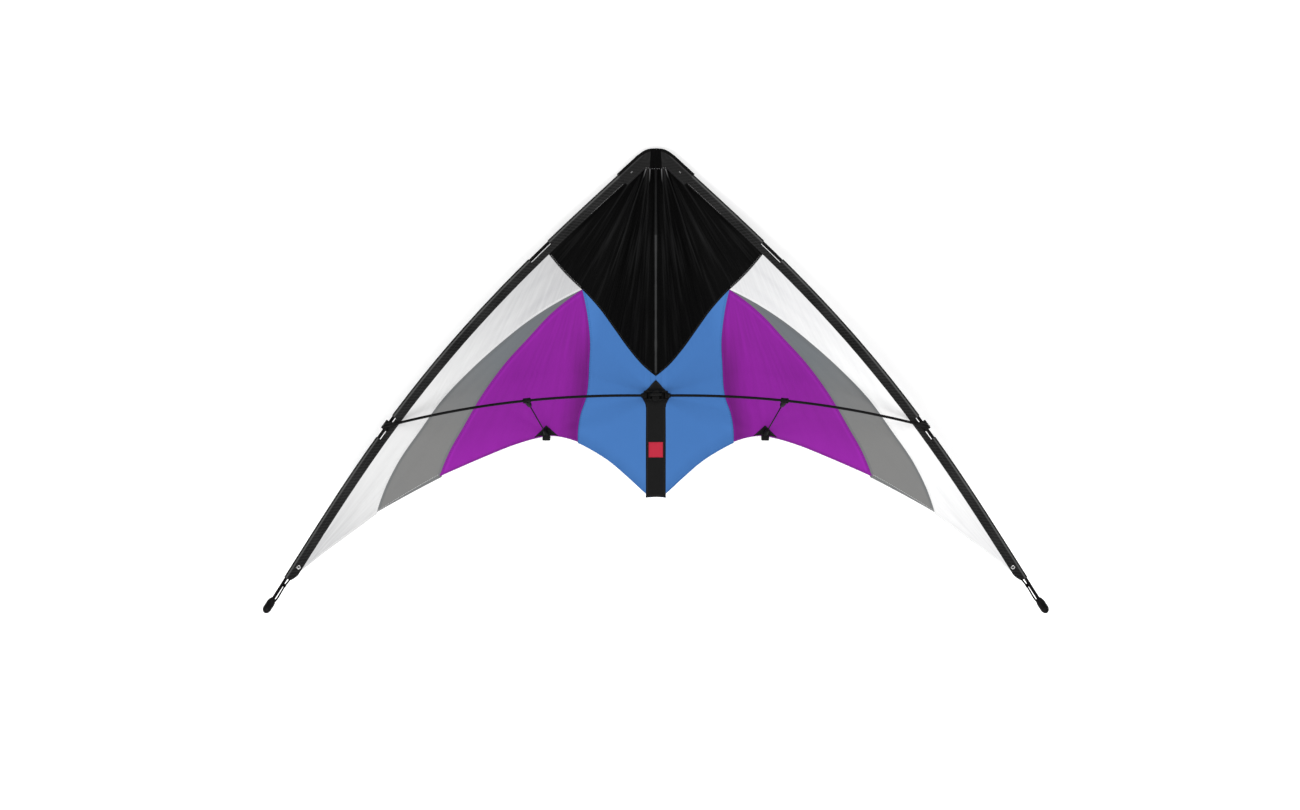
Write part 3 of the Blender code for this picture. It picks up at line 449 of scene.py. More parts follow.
# The sail's whole front surface. To the depth it adds the ridge over the spine with a groove beside it, the
# nose folds, puckers across the seams, long shallow waves beside the leading edge, and folds that fan out
# from the standoff's foot and the wing's tip. All of it, and the lift, fades out where the cloth goes
# into the tape.
def sailSurface(x, y, side, lift=0.0, fields=None):
    fields = fields or placeFields(x, y)
    shift = 0.0 if side == "right" else 1.3
    inset, edgePlace = fields["edge"]
    height = noseFoldHeight(x, y, shift) * smoothStep(0, 3, x)
    ridge = folds["ridge"] * bell(x, folds["ridgeWidth"])
    groove = folds["groove"] * bell(x - folds["grooveAt"], folds["grooveWidth"])
    height += smoothStep(362, 372, y) * (1 - smoothStep(668, 676, y)) * (ridge - groove)
    away, passed = fields["black"]
    inside = smoothStep(-1, 1, np.where(isBlack(x, y), away, -away))
    uneven = (0.7 + 0.3 * np.sin(passed / 9.1)) * smoothStep(0, 2.5, away) * (0.25 + 0.75 * inside)
    height += pucker("black", fields["black"], 2.2, 23, shift) * uneven
    for number, name in enumerate(("white", "grey", "purple")):
        started = smoothStep(0, 14, fields[name][1])
        height += pucker("other", fields[name], 2, 31, number + shift) * started
    height += pucker("hem", fields["hem"], 2.4, 67, shift) * smoothStep(20, 60, x)
    band = bell(inset - folds["edgeMiddle"], folds["edgeSpread"]) * smoothStep(150, 260, edgePlace)
    for size, length, slant, phase in folds["edge"]:
        height += size * band * np.sin(2 * np.pi * (inset + slant * edgePlace) / length + phase + shift)
    for (middleX, middleY), reach, start, waves in folds["fans"]:
        across, up = x - middleX, y - middleY
        away = np.hypot(across, up)
        for size, count, phase in waves:
            fan = size * np.sin(count * np.arctan2(across, up) + phase + shift)
            height += fan * np.exp(-away / reach) * smoothStep(start, 3 * start, away)
    return fields["depth"] + smoothStep(15.2, 20.0, inset) * (height + lift)


def isBlack(x, y):  # above the black cloth's lower edge
    line = blackEdge[::-1]
    return y > np.interp(x, line[:, 0], line[:, 1])


print("kite: the plan and the sail's surface are set")


# Materials


studioLight = 1.36  # the light on a level face; colours below are given as they look under it


def linear(colour):  # a material's colour from the one that it is to have in the picture, or from a grey
    value = np.broadcast_to(colour, 3) / 255
    value = np.where(value <= 0.04045, value / 12.92, ((value + 0.055) / 1.055) ** 2.4)
    return (*(value / studioLight), 1)


def feed(node, given):  # values or signals on a node's inputs, by name or number
    for slot, value in given.items() if isinstance(given, dict) else enumerate(given):
        if isinstance(value, nodeOutput):
            node.id_data.links.new(value.socket, node.inputs[slot])
        else:
            node.inputs[slot].default_value = value


def addNode(tree, kind, given=(), out=(0,), **settings):  # the signals that come out of a new node
    node = tree.nodes.new("ShaderNode" + kind)
    for name, value in settings.items():
        setattr(node, name, value)
    feed(node, given)
    signals = [nodeOutput(node.outputs[which]) for which in out]
    return signals if len(signals) > 1 else signals[0]


# What comes out of a node. Sums with it add Math nodes to its tree.
class nodeOutput:
    def __init__(self, socket):
        self.socket, self.tree = socket, socket.id_data

    def does(self, operation, *others):
        return addNode(self.tree, "Math", (self, *others), operation=operation)

    def __add__(self, other):
        return self.does("ADD", other)

    def __sub__(self, other):
        return self.does("SUBTRACT", other)

    def __rsub__(self, other):
        return addNode(self.tree, "Math", (other, self), operation="SUBTRACT")

    def __mul__(self, other):
        return self.does("MULTIPLY", other)

    def __truediv__(self, other):
        return self.does("DIVIDE", other)

    def plus(self, share, rest):
        return self.does("MULTIPLY_ADD", share, rest)

    def clamped(self):
        return addNode(self.tree, "Clamp", (self,))

    def parts(self):
        return addNode(self.tree, "SeparateXYZ", (self,), (0, 1, 2))


# A shader node group from its inputs' first values and a recipe that makes its outputs from its inputs.
def newGroup(name, inputs, outputs, recipe):
    group = bpy.data.node_groups.new(name, "ShaderNodeTree")
    for label, value in inputs.items():
        kind = "NodeSocketFloat" if isinstance(value, float) else "NodeSocketVector"
        made = group.interface.new_socket(label, in_out="INPUT", socket_type=kind)
        if value is not None:
            made.default_value = value
    for label in outputs:
        group.interface.new_socket(label, in_out="OUTPUT", socket_type="NodeSocketFloat")
    first, last = group.nodes.new("NodeGroupInput"), group.nodes.new("NodeGroupOutput")
    feed(last, dict(zip(outputs, recipe(*(nodeOutput(first.outputs[label]) for label in inputs)))))
    return group


def useGroup(tree, group, out=(0,), **given):
    return addNode(tree, "Group", given, out, node_tree=group)


# Plain weave with a heavier thread every few millimetres both ways: the product of two sines, and narrow
# lines where the distance to the nearest multiple of the spacing is small.
def ripstopWeave(place, thread, spacing, line):
    axes = place.parts()[:2]
    waves = [(axis / thread * math.tau).does("SINE") for axis in axes]
    lines = [1 - (axis.does("PINGPONG", spacing * 0.5) / line).does("MINIMUM", 1) for axis in axes]
    return ((waves[0] * waves[1]).plus(0.25, lines[0].does("MAXIMUM", lines[1]) * 0.8),)


# Tightly woven tape: a twill from one diagonal sine and a fine sine across it.
def tapeWeave(place, thread):
    across, along = (axis / thread for axis in place.parts()[:2])
    twill = ((across + along) * math.tau).does("SINE")
    return (twill.plus(0.6, (across * (2 * math.tau)).does("SINE") * 0.3),)


# Broad noise for the tone, and where it and a fine noise are both high, light dust.
def unevenTone(place, broad, fine):
    tone, grain = (addNode(place.tree, "TexNoise", {"Vector": place, "Scale": scale, "Detail": detail})
                   for scale, detail in ((broad, 4), (fine, 2)))
    given = {"Value": tone * grain, "From Min": 0.24, "From Max": 0.5}
    return tone, addNode(place.tree, "MapRange", given, interpolation_type="SMOOTHSTEP")


# Two layers of cloth beside a seam or hem: 1 within the width of it, with a soft rim.
def lappedCloth(distance, width, soft):
    return (((width - distance) / soft + 0.5).clamped(),)


# Streaks that fan out from a point, painted light and shade along folds: noise over the angle about it, drawn
# out along the distance. They fade with the share of the reach passed, and are signed about zero.
def fanStreaks(place, centre, count, reach, seed):
    x, y, _ = addNode(place.tree, "VectorMath", (place, centre), operation="SUBTRACT").parts()
    distance = y.plus(y, x * x).does("SQRT")
    angle = x.does("ARCTAN2", y.does("ABSOLUTE"))
    spot = addNode(place.tree, "CombineXYZ", (angle * count, distance * 9.0, seed))
    noise = addNode(place.tree, "TexNoise", {"Vector": spot, "Scale": 1.0, "Detail": 3.0})
    return ((noise - 0.5) * 4.0 * (1 - (distance / reach).does("MINIMUM", 1)),)


# One crease's mask for a painted highlight or painted shade along it: a bell across a straight line from its
# start, fading over its length. Slow noise makes the line wander a little.
def creaseLine(place, start, ahead, length, width):
    tree = place.tree
    away = addNode(tree, "VectorMath", (place, start), operation="SUBTRACT")
    along = addNode(tree, "VectorMath", (away, ahead), (1,), operation="DOT_PRODUCT")
    across = addNode(tree, "VectorMath", (away, ahead), operation="CROSS_PRODUCT").parts()[2]
    noise = addNode(tree, "TexNoise", {"Vector": place, "Scale": 60.0})
    off = (across + noise.plus(0.0012, -0.0006)) / width
    across = addNode(tree, "Math", (0.3679, off * off), operation="POWER")  # 1 over e to the offset squared
    return (across * ((1 - along / length).clamped() * along.plus(400.0, 0.5).clamped()),)


origin = (0, 0, 0)
ripstopGroup = newGroup("ripstop weave", {"Vector": None, "Thread": 0.0006, "Spacing": 0.005, "Line": 0.0004},
                        ["Height"], ripstopWeave)
tapeGroup = newGroup("tape weave", {"Vector": None, "Thread": 0.0011}, ["Height"], tapeWeave)
toneGroup = newGroup("uneven tone", {"Vector": None, "Broad": 9.0, "Fine": 260.0}, ["Tone", "Dust"],
                     unevenTone)
lapGroup = newGroup("lapped cloth", {"Distance": 1.0, "Width": 3.4, "Soft": 0.5}, ["Lap"], lappedCloth)
fanGroup = newGroup("painted fold streaks", {"Vector": None, "Centre": origin, "Count": 20.0, "Reach": 0.3,
                                    "Seed": 0.0}, ["Streak"], fanStreaks)
creaseGroup = newGroup("crease", {"Vector": None, "Start": origin, "Ahead": (0, -1, 0), "Length": 0.1,
                                  "Width": 0.001}, ["Mask"], creaseLine)


def newMaterial(name, roughness, specular, metallic=0.0):
    made = bpy.data.materials.new(name)
    made.use_nodes = True
    shader = made.node_tree.nodes["Principled BSDF"]
    feed(shader, {"Roughness": roughness, "Specular IOR Level": specular, "Metallic": metallic})
    return made, made.node_tree, shader


def kept(tree, name, out="Fac"):  # values that a piece keeps on its vertices
    return addNode(tree, "Attribute", out=(out,), attribute_name=name)


def mixed(tree, mask, first, second):
    return addNode(tree, "Mix", {0: mask, 6: first, 7: second}, (2,), data_type="RGBA")


def bumped(tree, height, distance, strength=1.0, **under):
    return addNode(tree, "Bump", {"Height": height, "Distance": distance, "Strength": strength, **under})


# Where each cloth's fine streaks fan out from, in metres, with their count, reach and strength; and the
# black cloth's creases, as start, angle off the spine, length, width and lightness. Both are painted light
# and
# shade along folds: a crease is a painted highlight where its lightness is above zero and painted shade where
# it is below, and the two on the spine are the painted highlight along the ridge over it.
paintedFoldFans = {
    "black": (((0.0, 0.715), 40.0, 0.75, 0.75), ((0.0, 0.715), 120.0, 0.6, 0.5)),
    "white": (((0.585, 0.012), 60.0, 0.33, 0.65), ((0.0, 0.9), 160.0, 1.1, 0.4)),
    "grey": (((0.1, 0.53), 30.0, 0.45, 0.28),),
    "purple": (((0.1, 0.58), 34.0, 0.5, 0.45),),
    "blue": (((0.02, 0.6), 16.0, 0.5, 0.08),),
}
paintedCreaseLight = (
    ((0.0, 676.0), 0.0, 1500.0, 2.0, 1.5), ((0.0, 575.0), 0.0, 1500.0, 1.5, 2.8),
    ((5.4, 676.0), 0.0, 900.0, 2.8, -0.9), ((8.9, 676.6), 2.0, 22.0, 0.65, 17.0),
    ((14.4, 676.6), 17.0, 16.0, 0.65, 15.0), ((15.0, 677.0), 18.4, 190.0, 1.1, 1.6),
    ((12.0, 676.0), 7.6, 260.0, 1.5, 0.8), ((9.4, 676.0), 3.4, 260.0, 1.2, 0.8),
    ((21.0, 672.0), 26.0, 190.0, 1.4, 0.7), ((30.0, 668.0), 35.5, 150.0, 1.8, 0.6),
    ((18.0, 674.0), 12.5, 260.0, 2.6, -0.9), ((25.0, 668.0), 31.0, 190.0, 2.6, -0.8),
)


# Sail cloth: its colour goes to a lighter or a darker one by the tone kept on the sheet, mostly painted
# shade, and by fine streaks and creases, painted light and shade along folds. Seams and hems that double it
# are another tone, and the ripstop weave, laps and streaks are bump.
def sailCloth(name, colours, roughness=0.62, specular=0.1, fans=(), creases=(), lighten=1.0, depth=0.0004):
    plain, light, dark, doubled = (linear(colour) for colour in colours)
    made, tree, shader = newMaterial(name, roughness, specular)
    flat = addNode(tree, "UVMap", uv_map="cloth")
    tone, dust = useGroup(tree, toneGroup, (0, 1), Vector=flat, Broad=7.0)
    weave = useGroup(tree, ripstopGroup, Vector=flat)
    lap = useGroup(tree, lapGroup, Distance=kept(tree, "seamDistance"))
    streaks = tone.plus(0.3, -0.15)
    for number, (middle, count, reach, strength) in enumerate(fans):
        fan = useGroup(tree, fanGroup, Vector=flat, Centre=(*middle, 0), Count=count, Reach=reach,
                       Seed=7.3 * number + len(name))
        streaks = fan.plus(strength, streaks)
    for start, angle, length, width, strength in creases:
        ahead = (math.sin(math.radians(angle)), -math.cos(math.radians(angle)), 0)
        crease = useGroup(tree, creaseGroup, Vector=flat, Start=(0.001 * start[0], 0.001 * start[1], 0),
                          Ahead=ahead, Length=0.001 * length, Width=0.001 * width)
        streaks = crease.plus(strength, streaks)
    # painted light and shade: the fold streaks and creases plus the tone kept on the sheet
    shade = streaks + kept(tree, "tone")
    base = mixed(tree, (shade * lighten).clamped(), mixed(tree, (shade * -1.0).clamped(), plain, dark), light)
    normal = bumped(tree, weave, 0.00005)
    normal = bumped(tree, streaks.does("MINIMUM", 1.2), depth, 0.7, Normal=normal)
    feed(shader, {"Base Color": mixed(tree, lap * 0.7, base, doubled),
                  "Roughness": dust.plus(0.12, roughness - 0.03),
                  "Normal": bumped(tree, lap, 0.00035, 0.8, Normal=normal)})
    return made


# Black tape and webbing: a woven bump laid along the piece, a little dust, a lighter tone at random, and on
# laid pieces a painted highlight along the crest over the rod. A bound rim can be darker.
def tapeCloth(name, colour, secondColour, roughness=0.65, specular=0.14, thread=0.0007, laid=False, rim=None):
    made, tree, shader = newMaterial(name, roughness, specular)
    place = kept(tree, "tapePlace", "Vector") if laid else addNode(tree, "TexCoord", out=("Object",))
    tone, dust = useGroup(tree, toneGroup, (0, 1), Vector=place, Broad=14.0, Fine=420.0)
    toneAndPaintedHighlight = tone.plus(0.5, -0.12)
    if laid:
        across, along, _ = place.parts()
        ribs = (across.plus(0.8, along) * (math.tau / 0.0058)).does("SINE")
        # laid pieces: the painted highlight kept along the rod's crest lightens the tape
        toneAndPaintedHighlight = kept(tree, "toneAndPaintedHighlight").plus(tone + 0.6, ribs.plus(0.07, toneAndPaintedHighlight))
    base = mixed(tree, toneAndPaintedHighlight.clamped(), linear(colour), linear(secondColour))
    if rim:
        width, bound = rim
        lap = useGroup(tree, lapGroup, Distance=kept(tree, "rimDistance"), Width=width)
        base = mixed(tree, lap, base, linear(bound))
    weave = useGroup(tree, tapeGroup, Vector=place, Thread=thread)
    feed(shader, {"Base Color": base, "Roughness": dust.plus(0.2, roughness - 0.05),
                  "Normal": bumped(tree, weave, 0.25 * max(thread - 0.00035, 0.00004))})
    return made


# Moulded plastic, drawn rod or metal: tone and roughness that vary, and fine grain as bump.
def hardStuff(name, colour, secondColour, roughness, specular, depth=0.0, broad=35.0, grain=900.0, dusty=0.25,
              metallic=0.0):
    made, tree, shader = newMaterial(name, roughness, specular, metallic)
    place = addNode(tree, "TexCoord", out=("Object",))
    tone, dust = useGroup(tree, toneGroup, (0, 1), Vector=place, Broad=broad, Fine=grain)
    feed(shader, {"Base Color": mixed(tree, tone, linear(colour), linear(secondColour)),
                  "Roughness": dust.plus(dusty, roughness - 0.05)})
    if depth:
        feed(shader, {"Normal": bumped(tree, dust, depth)})
    return made


finishes = {
    # black cloth: its light colour (140) is the painted highlight on its creases and fold streaks
    "black_cloth": sailCloth("black sail cloth", (5, (140, 140, 141), 0, 6), 0.5, 0.03, paintedFoldFans["black"],
                             paintedCreaseLight, 0.045, 0.0007),
    "white_cloth": sailCloth("white sail cloth", ((226, 226, 227), 246, (200, 200, 202), 240), 0.6, 0.08,
                             paintedFoldFans["white"]),
    # the left wing's white: a darker copy of the white cloth, painted shade for the weaker light on that wing
    "white_cloth_left_painted_shade": sailCloth("white sail cloth, greyer", ((199, 199, 200), 227, (176, 176, 178), 219),
                                  0.6, 0.08, paintedFoldFans["white"]),
    "grey_cloth": sailCloth("grey sail cloth", ((113, 117, 120), (126, 126, 125), (104, 108, 113),
                                                (112, 115, 116)), fans=paintedFoldFans["grey"]),
    "purple_cloth": sailCloth("purple sail cloth", ((137, 26, 150), (151, 32, 166), (108, 20, 116),
                                                    (124, 24, 136)), fans=paintedFoldFans["purple"]),
    "blue_cloth": sailCloth("blue sail cloth", ((69, 121, 188), (76, 130, 198), (60, 108, 170),
                                                (60, 110, 174)), fans=paintedFoldFans["blue"]),
    # the edge tape's second colour (88) is also its painted highlight over the rod
    "webbing": tapeCloth("black edge tape", 19, 88, 0.7, 0.05, laid=True),
    "nose": tapeCloth("black nose webbing", 33, 62, 0.7, 0.05, laid=True, rim=(4.6, 11)),
    "tunnel": tapeCloth("black spine tape", 20, 38, 0.7, 0.06),
    "patch": tapeCloth("black webbing", 23, 38, 0.7, 0.05),
    "recess": tapeCloth("black nose lining", 4, 13, 0.8, 0.05),
    "rod": hardStuff("glass fibre rod", (1, 1, 2), (8, 8, 9), 0.4, 0.08, 0.00001, grain=1400.0),
    "fitting": hardStuff("moulded fitting", 1, 7, 0.5, 0.1, 0.00004),
    "label": tapeCloth("red woven label", (188, 40, 62), (205, 60, 82), 0.7, 0.1, 0.0006),
    "eyelet": hardStuff("bright eyelet", 250, (206, 206, 204), 0.3, 0.5, broad=220.0, dusty=0.3,
                        metallic=1.0),
    "cord": tapeCloth("black cord", 4, 16, 0.7, 0.05, 0.0009),
}
threads = {
    "thread": ("dark thread", (44, 44, 45), (84, 84, 85)),
    "pale_thread": ("pale thread", 128, 168),
    "white_thread": ("white thread", 238, 252),
    "purple_thread": ("purple thread", (146, 44, 160), (176, 70, 190)),
    "blue_thread": ("blue thread", (76, 130, 198), (104, 156, 216)),
}
finishes.update({name: tapeCloth(*looks, thread=0.0003) for name, looks in threads.items()})
recordSlots = {
    **dict.fromkeys(("nose", "tunnel", "patch", "recess", "thread", "pale_thread"), "webbing"),
    "white_cloth_left_painted_shade": "white_cloth", "white_thread": "white_cloth",
    "purple_thread": "purple_cloth", "blue_thread": "blue_cloth",
}
print("kite: the materials are made")


# Adding pieces


bend = {"from": 13.5, "to": 22.0}  # lines beside the spine for cloth that crosses a fold; they are placed, but nothing bends


def addPiece(name, mesh, finish, nodes=(), body="root", bends=None):
    thing = addObject(name, mesh)
    mesh.materials.append(finishes[finish])
    if bends:
        sign = -1 if bends == "left" else 1
        start, end = (tuple(placed((sign * bend[key], hinge["y"], 0))) for key in ("from", "to"))
        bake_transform(thing)
        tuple(start)
        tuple(end)
    else:
        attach(thing, body)
    if nodes:
        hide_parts(*nodes)
    recordSlots.get(finish, finish)
    return thing


def thicken(thing, thickness):
    wall = thing.modifiers.new("thickness", "SOLIDIFY")
    wall.thickness, wall.offset = 0.001 * thickness, 0


# Sail panels


def blended(share, first, second):
    return (1 - share) * first + share * second


def straightLine(first, second, pieces):
    share = np.linspace(0, 1, pieces + 1)[:, None]
    return blended(share, np.asarray(first, float), np.asarray(second, float))


# A panel's grid between its four sides, each cut into as many even pieces as the cell size asks for: the sum
# of the two ruled surfaces less the one that its corners give.
def panelPlan(first, last, start, end, cell=sail["cell"]):
    rows = math.ceil(max(lengthsAlong(first)[-1], lengthsAlong(last)[-1]) / cell)
    columns = math.ceil(max(lengthsAlong(start)[-1], lengthsAlong(end)[-1]) / cell)
    first, last = evenly(first, rows), evenly(last, rows)
    start, end = evenly(start, columns), evenly(end, columns)
    down, over = np.linspace(0, 1, rows + 1)[:, None, None], np.linspace(0, 1, columns + 1)[None, :, None]
    corners = blended(down, blended(over, first[0], last[0]), blended(over, first[-1], last[-1]))
    return blended(over, first[:, None], last[:, None]) + blended(down, start[None], end[None]) - corners


def between(line, first, last):  # the line with its ends moved to two points, and the rest carried along
    share = np.linspace(0, 1, len(line))[:, None]
    return line + (1 - share) * (first - line[0]) + share * (last - line[-1])


# How much lighter or darker a sheet is than its plain colour, from 1 to -1, mostly painted light and shade.
# White is lighter half way out and grey towards its hem, painted shade for how the light falls on them, and
# purple in a band by the grey seam and at its outer hem. Purple is darker by the blue seam, blue at its hem
# and, as painted shade, on its flat part by the hub, and black beside the tape, a painted shadow.
def clothToneAndPaintedShade(colour, x, y, fields):
    inset, edgePlace = fields["edge"]
    # painted shade: white is lighter half way out along the leading edge
    if colour == "white":
        return smoothStep(180, 520, edgePlace) * (1 - smoothStep(600, 830, edgePlace))
    # painted shade: grey is lighter towards its hem
    if colour == "grey":
        return 2 * smoothStep(0, 330, fields["grey"][1]) - 1
    if colour == "purple":
        away, passed = fields["purple"]
        tone = 0.55 * (1 - smoothStep(5.5, 8.5, fields["grey"][0]))
        tone += 0.5 * (1 - smoothStep(0, 50, fields["hem"][0])) * smoothStep(160, 270, x)
        return tone - 0.85 * (1 - smoothStep(2, 40, away)) * smoothStep(30, 130, passed)
    if colour == "blue":
        # painted shade on the flat cloth by the hub, which the light falls on more
        flat = (1 - smoothStep(13.5, 17, x)) * smoothStep(325, 345, y)
        return -0.5 * (1 - smoothStep(0, 22, fields["hem"][0])) - 0.5 * flat
    # painted shadow along the tape's inner edge
    started = smoothStep(44, 60, edgePlace)
    return -0.9 * bell(inset - 19, 2.6) * started * (1 - smoothStep(128, 165, edgePlace))


# Measures a sheet by its grid: its longest row and column, and its area as two triangles for each cell. The
# results are not kept.
def declareCloth(grid):
    steps = [np.linalg.norm(np.diff(grid, axis=axis), axis=-1) for axis in (0, 1)]
    length, width = (step.sum(axis=axis).max() for axis, step in enumerate(steps))
    a, b, c, d = grid[:-1, :-1], grid[:-1, 1:], grid[1:, 1:], grid[1:, :-1]
    area = sum(np.linalg.norm(np.cross(side, c - a), axis=-1).sum() for side in (b - a, d - a)) / 2
    area = float(np.clip(area, 0.31 * width * length, width * length))


# A sheet of sail cloth on the sail's surface. The lift stacks lapped panels, and what lies under the black
# cloth is tucked further back. For its material the sheet keeps its tone, which is mostly painted shade, and
# its distance from the nearest seam or hem.
def sailSheet(side, colour, plan, fields, lines, name, node, **rides):
    x, y = plan[..., 0], plan[..., 1]
    z = sailSurface(x, y, side, sail["lifts"][colour], fields)
    if colour != "black":
        under = np.where(isBlack(x, y), fields["black"][0], 0) * smoothStep(16, 19, fields["edge"][0])
        z -= sail["tuck"] * smoothStep(0, 2.5, under)
    grid = mirrored(np.stack([x, y, z], axis=-1), side)
    points = grid.reshape(-1, 3)
    mesh = meshFrom(name, points, [gridQuads(*x.shape)], closed=False)
    corners = np.empty(len(mesh.loops), np.int32)
    mesh.loops.foreach_get("vertex_index", corners)
    flat = 0.001 * np.abs(points[corners, :2])
    mesh.uv_layers.new(name="cloth").data.foreach_set("uv", flat.astype(np.float32).ravel())
    keepOn(mesh, "seamDistance", np.min([nearLine(x, y, line)[0] for line in lines], axis=0))
    # tone kept for the material: mostly painted light and shade
    keepOn(mesh, "tone", clothToneAndPaintedShade(colour, x, y, fields))
    if side == "left":
        mesh.flip_normals()
    # the left wing's white takes the darker copy, painted shade
    finish = "white_cloth_left_painted_shade" if (side, colour) == ("left", "white") else f"{colour}_cloth"
    thing = addPiece(name, mesh, finish, [node], **rides)
    thicken(thing, sail["thickness"])
    declareCloth(grid)
    return mesh


underTape, underStrip = 13.0, 7.2  # how far under the tape and the strip the cloth goes


def hemmedPlan(outer, inner, hem):
    return panelPlan(outer, inner, straightLine(outer[0], inner[0], 4), between(hem, outer[-1], inner[-1]))


# Each cloth of a wing, with its plan and the seams and hems that double it.
def sailPlans():
    lap, start, corner = sail["lap"], passedAt(marks["noseArmEnd"]) - 10, passedAt(marks["blackCorner"])
    outer, shoulder = edgeRun(start, corner, underTape), alongEdge(start - 26, 17.0)[0]
    top = joined(straightLine(outer[0], shoulder, 8), straightLine(shoulder, (0, 679.5), 8))
    bottom = np.concatenate([outer[-1:], blackEdge])
    yield "black", panelPlan(outer, straightLine(top[-1], bottom[-1], 8), top, bottom), [blackEdge]
    outer = edgeRun(corner - 4, passedAt(marks["sleeveEnd"] + 9), underTape)
    inner = np.concatenate([shifted(seams["blackOuter"], lap)[:-1], seams["white"]])
    yield "white", hemmedPlan(outer, inner, hems["white"][::-1]), [seams["white"], hems["white"]]
    outer, inner = shifted(seams["white"], -lap), shifted(seams["grey"], lap)
    yield "grey", hemmedPlan(outer, inner, hems["grey"][::-1]), [seams["white"], seams["grey"], hems["grey"]]
    lines = [seams["grey"], seams["purple"], hems["purpleInner"], hems["purpleOuter"]]
    yield "purple", hemmedPlan(seams["grey"], shifted(seams["purple"], lap), purpleHem), lines
    top, low = (line[line[:, 0] > underStrip] for line in (shifted(seams["blackInner"], lap), hems["blue"]))
    inner = joined(top, straightLine(top[-1], low[-1], 60))
    yield "blue", hemmedPlan(seams["purple"], inner, low), [seams["purple"], hems["blue"]]


def makeSails():
    for colour, plan, lines in sailPlans():
        fields = placeFields(plan[..., 0], plan[..., 1])
        for side in wings:
            rides = {"bends": side} if colour in ("black", "blue") else {"body": f"{side}_wing"}
            name, node = f"{side}_{colour}_sail", f"{side}_{colour}_panel"
            sailSheet(side, colour, plan, fields, lines, name, node, **rides)
    plan = flatGrid(np.linspace(0.0, 10.5, 8), np.linspace(372.0, 341.2, 20))
    fields = placeFields(plan[..., 0], plan[..., 1])
    for side in wings:  # the blue cloth around the hub, a little behind the two blue panels
        mesh = sailSheet(side, "blue", plan, fields, [hems["blue"]], f"{side}_hub_cloth", "blue_centre_panel")
        lowered = placed(kitePoints(mesh) - (0, 0, 0.08))
        mesh.vertices.foreach_set("co", lowered.astype(np.float32).ravel())


makeSails()
print("kite: the sail panels are sewn")


# Tapes, rods and sleeves


tape = {
    # half of the drop-shaped outline, as inset and height
    "outline": ((16.7, 0.0), (16.62, 0.36), (16.2, 0.52), (14.4, 0.54), (12.4, 0.56), (10.6, 0.72),
                (9.2, 1.08), (7.9, 1.72), (6.7, 2.42), (5.5, 3.0), (4.5, 3.28), (3.5, 3.36), (2.4, 3.16),
                (1.4, 2.62), (0.6, 1.8), (0.12, 0.9), (0.0, 0.0)),
    "hole": 2.75, "step": 4.0, "wave": 0.1, "corner": (15.0, 5.8, 1.2), "width": 33.4,
}


# The sleeve over the leading edge rod between two distances: its outline carried along the edge's outer line,
# with the rod's round hole in it. Small waves run along its flat band, and its end may have a round corner.
def sleeveShape(start, end, rounded=False):
    length, depth, small = tape["corner"]
    passed = np.arange(start, end, tape["step"])
    if rounded:
        turn = small * (1 - np.cos(np.linspace(0, np.pi / 2, 7)))
        passed = passed[passed < end - length]
        passed = np.r_[passed, np.linspace(end - length, end - small, 9)[:-1], end - turn]
    passed = np.unique(np.r_[passed, end])
    upper = np.array(tape["outline"])
    loop = np.concatenate([upper, (upper * (1, -1))[-2:0:-1]])
    outside = np.repeat(loop[None], len(passed), axis=0)
    wave = tape["wave"] * (np.sin(passed / 5.3) + 0.7 * np.sin(passed / 2.9 + 1))
    outside[..., 1] += smoothStep(6, 11, loop[:, 0]) * wave[:, None]
    if rounded:
        away = passed[-1] - passed
        cut = depth * np.clip(1 - away / length, 0, 1) ** 1.6
        cut += small * (1 - np.sqrt(1 - np.clip(1 - away / small, 0, 1) ** 2))
        outside[..., 0] -= np.maximum(loop[:, 0] - 8, 0) / (sleeve["width"] - 8) * cut[:, None]
    angle = np.arctan2(loop[:, 1], loop[:, 0] - sleeve["rodInset"])
    ring = tape["hole"] * np.stack([np.cos(angle), np.sin(angle)], axis=-1) + (sleeve["rodInset"], 0)
    path = edgeLift(passed, 0)
    return hollowShape(carried(path, outside), carried(path, ring))


# Keeps each vertex's place along and across the leading edge, and a painted highlight: most over the rod's
# crest.
def layAlongEdge(mesh):
    x, y, z = np.abs(kitePoints(mesh)).T
    inset, passed = nearLine(x, y, edgePoints)
    places = 0.001 * np.stack([inset, passed, 0 * inset], axis=-1)
    keepOn(mesh, "tapePlace", places, "FLOAT_VECTOR", "vector")
    # painted highlight along the crest over the rod
    keepOn(mesh, "toneAndPaintedHighlight", bell(inset - 3.5, 1.0) * smoothStep(0.8, 2.0, z))


def bandShape(start, end, inset):  # the flat band that goes on beside a cut-out
    path = edgeLift(np.linspace(start - 1.5, end + 1.5, 14), (sleeve["width"] + inset) / 2)
    return barShape(loft(path, (sleeve["width"] - inset) / 2, 0.54, power=7, sides=28))


def makeSleeves():
    start, end = passedAt(marks["noseArmEnd"]) - 7, passedAt(marks["sleeveEnd"])
    upper, lower = ([passedAt(height) for height in marks[name]] for name in ("upperNotch", "lowerNotch"))
    for side in wings:
        for name, shapes, length in (
            ("upper", [sleeveShape(start, upper[0]), bandShape(*upper, 7.1)], upper[1] - start),
            ("middle", [sleeveShape(upper[1], lower[0]), bandShape(*lower, 7.5)], lower[1] - upper[1]),
            ("tip", [sleeveShape(lower[1], end, rounded=True)], end - lower[1]),
        ):
            mesh = meshOf(f"{side}_sleeve_{name}", shapes, side)
            layAlongEdge(mesh)
            node = f"{side}_leading_edge_sleeve_{name}"
            thing = addPiece(mesh.name, mesh, "webbing", [node], f"{side}_wing")
            0.001 * length


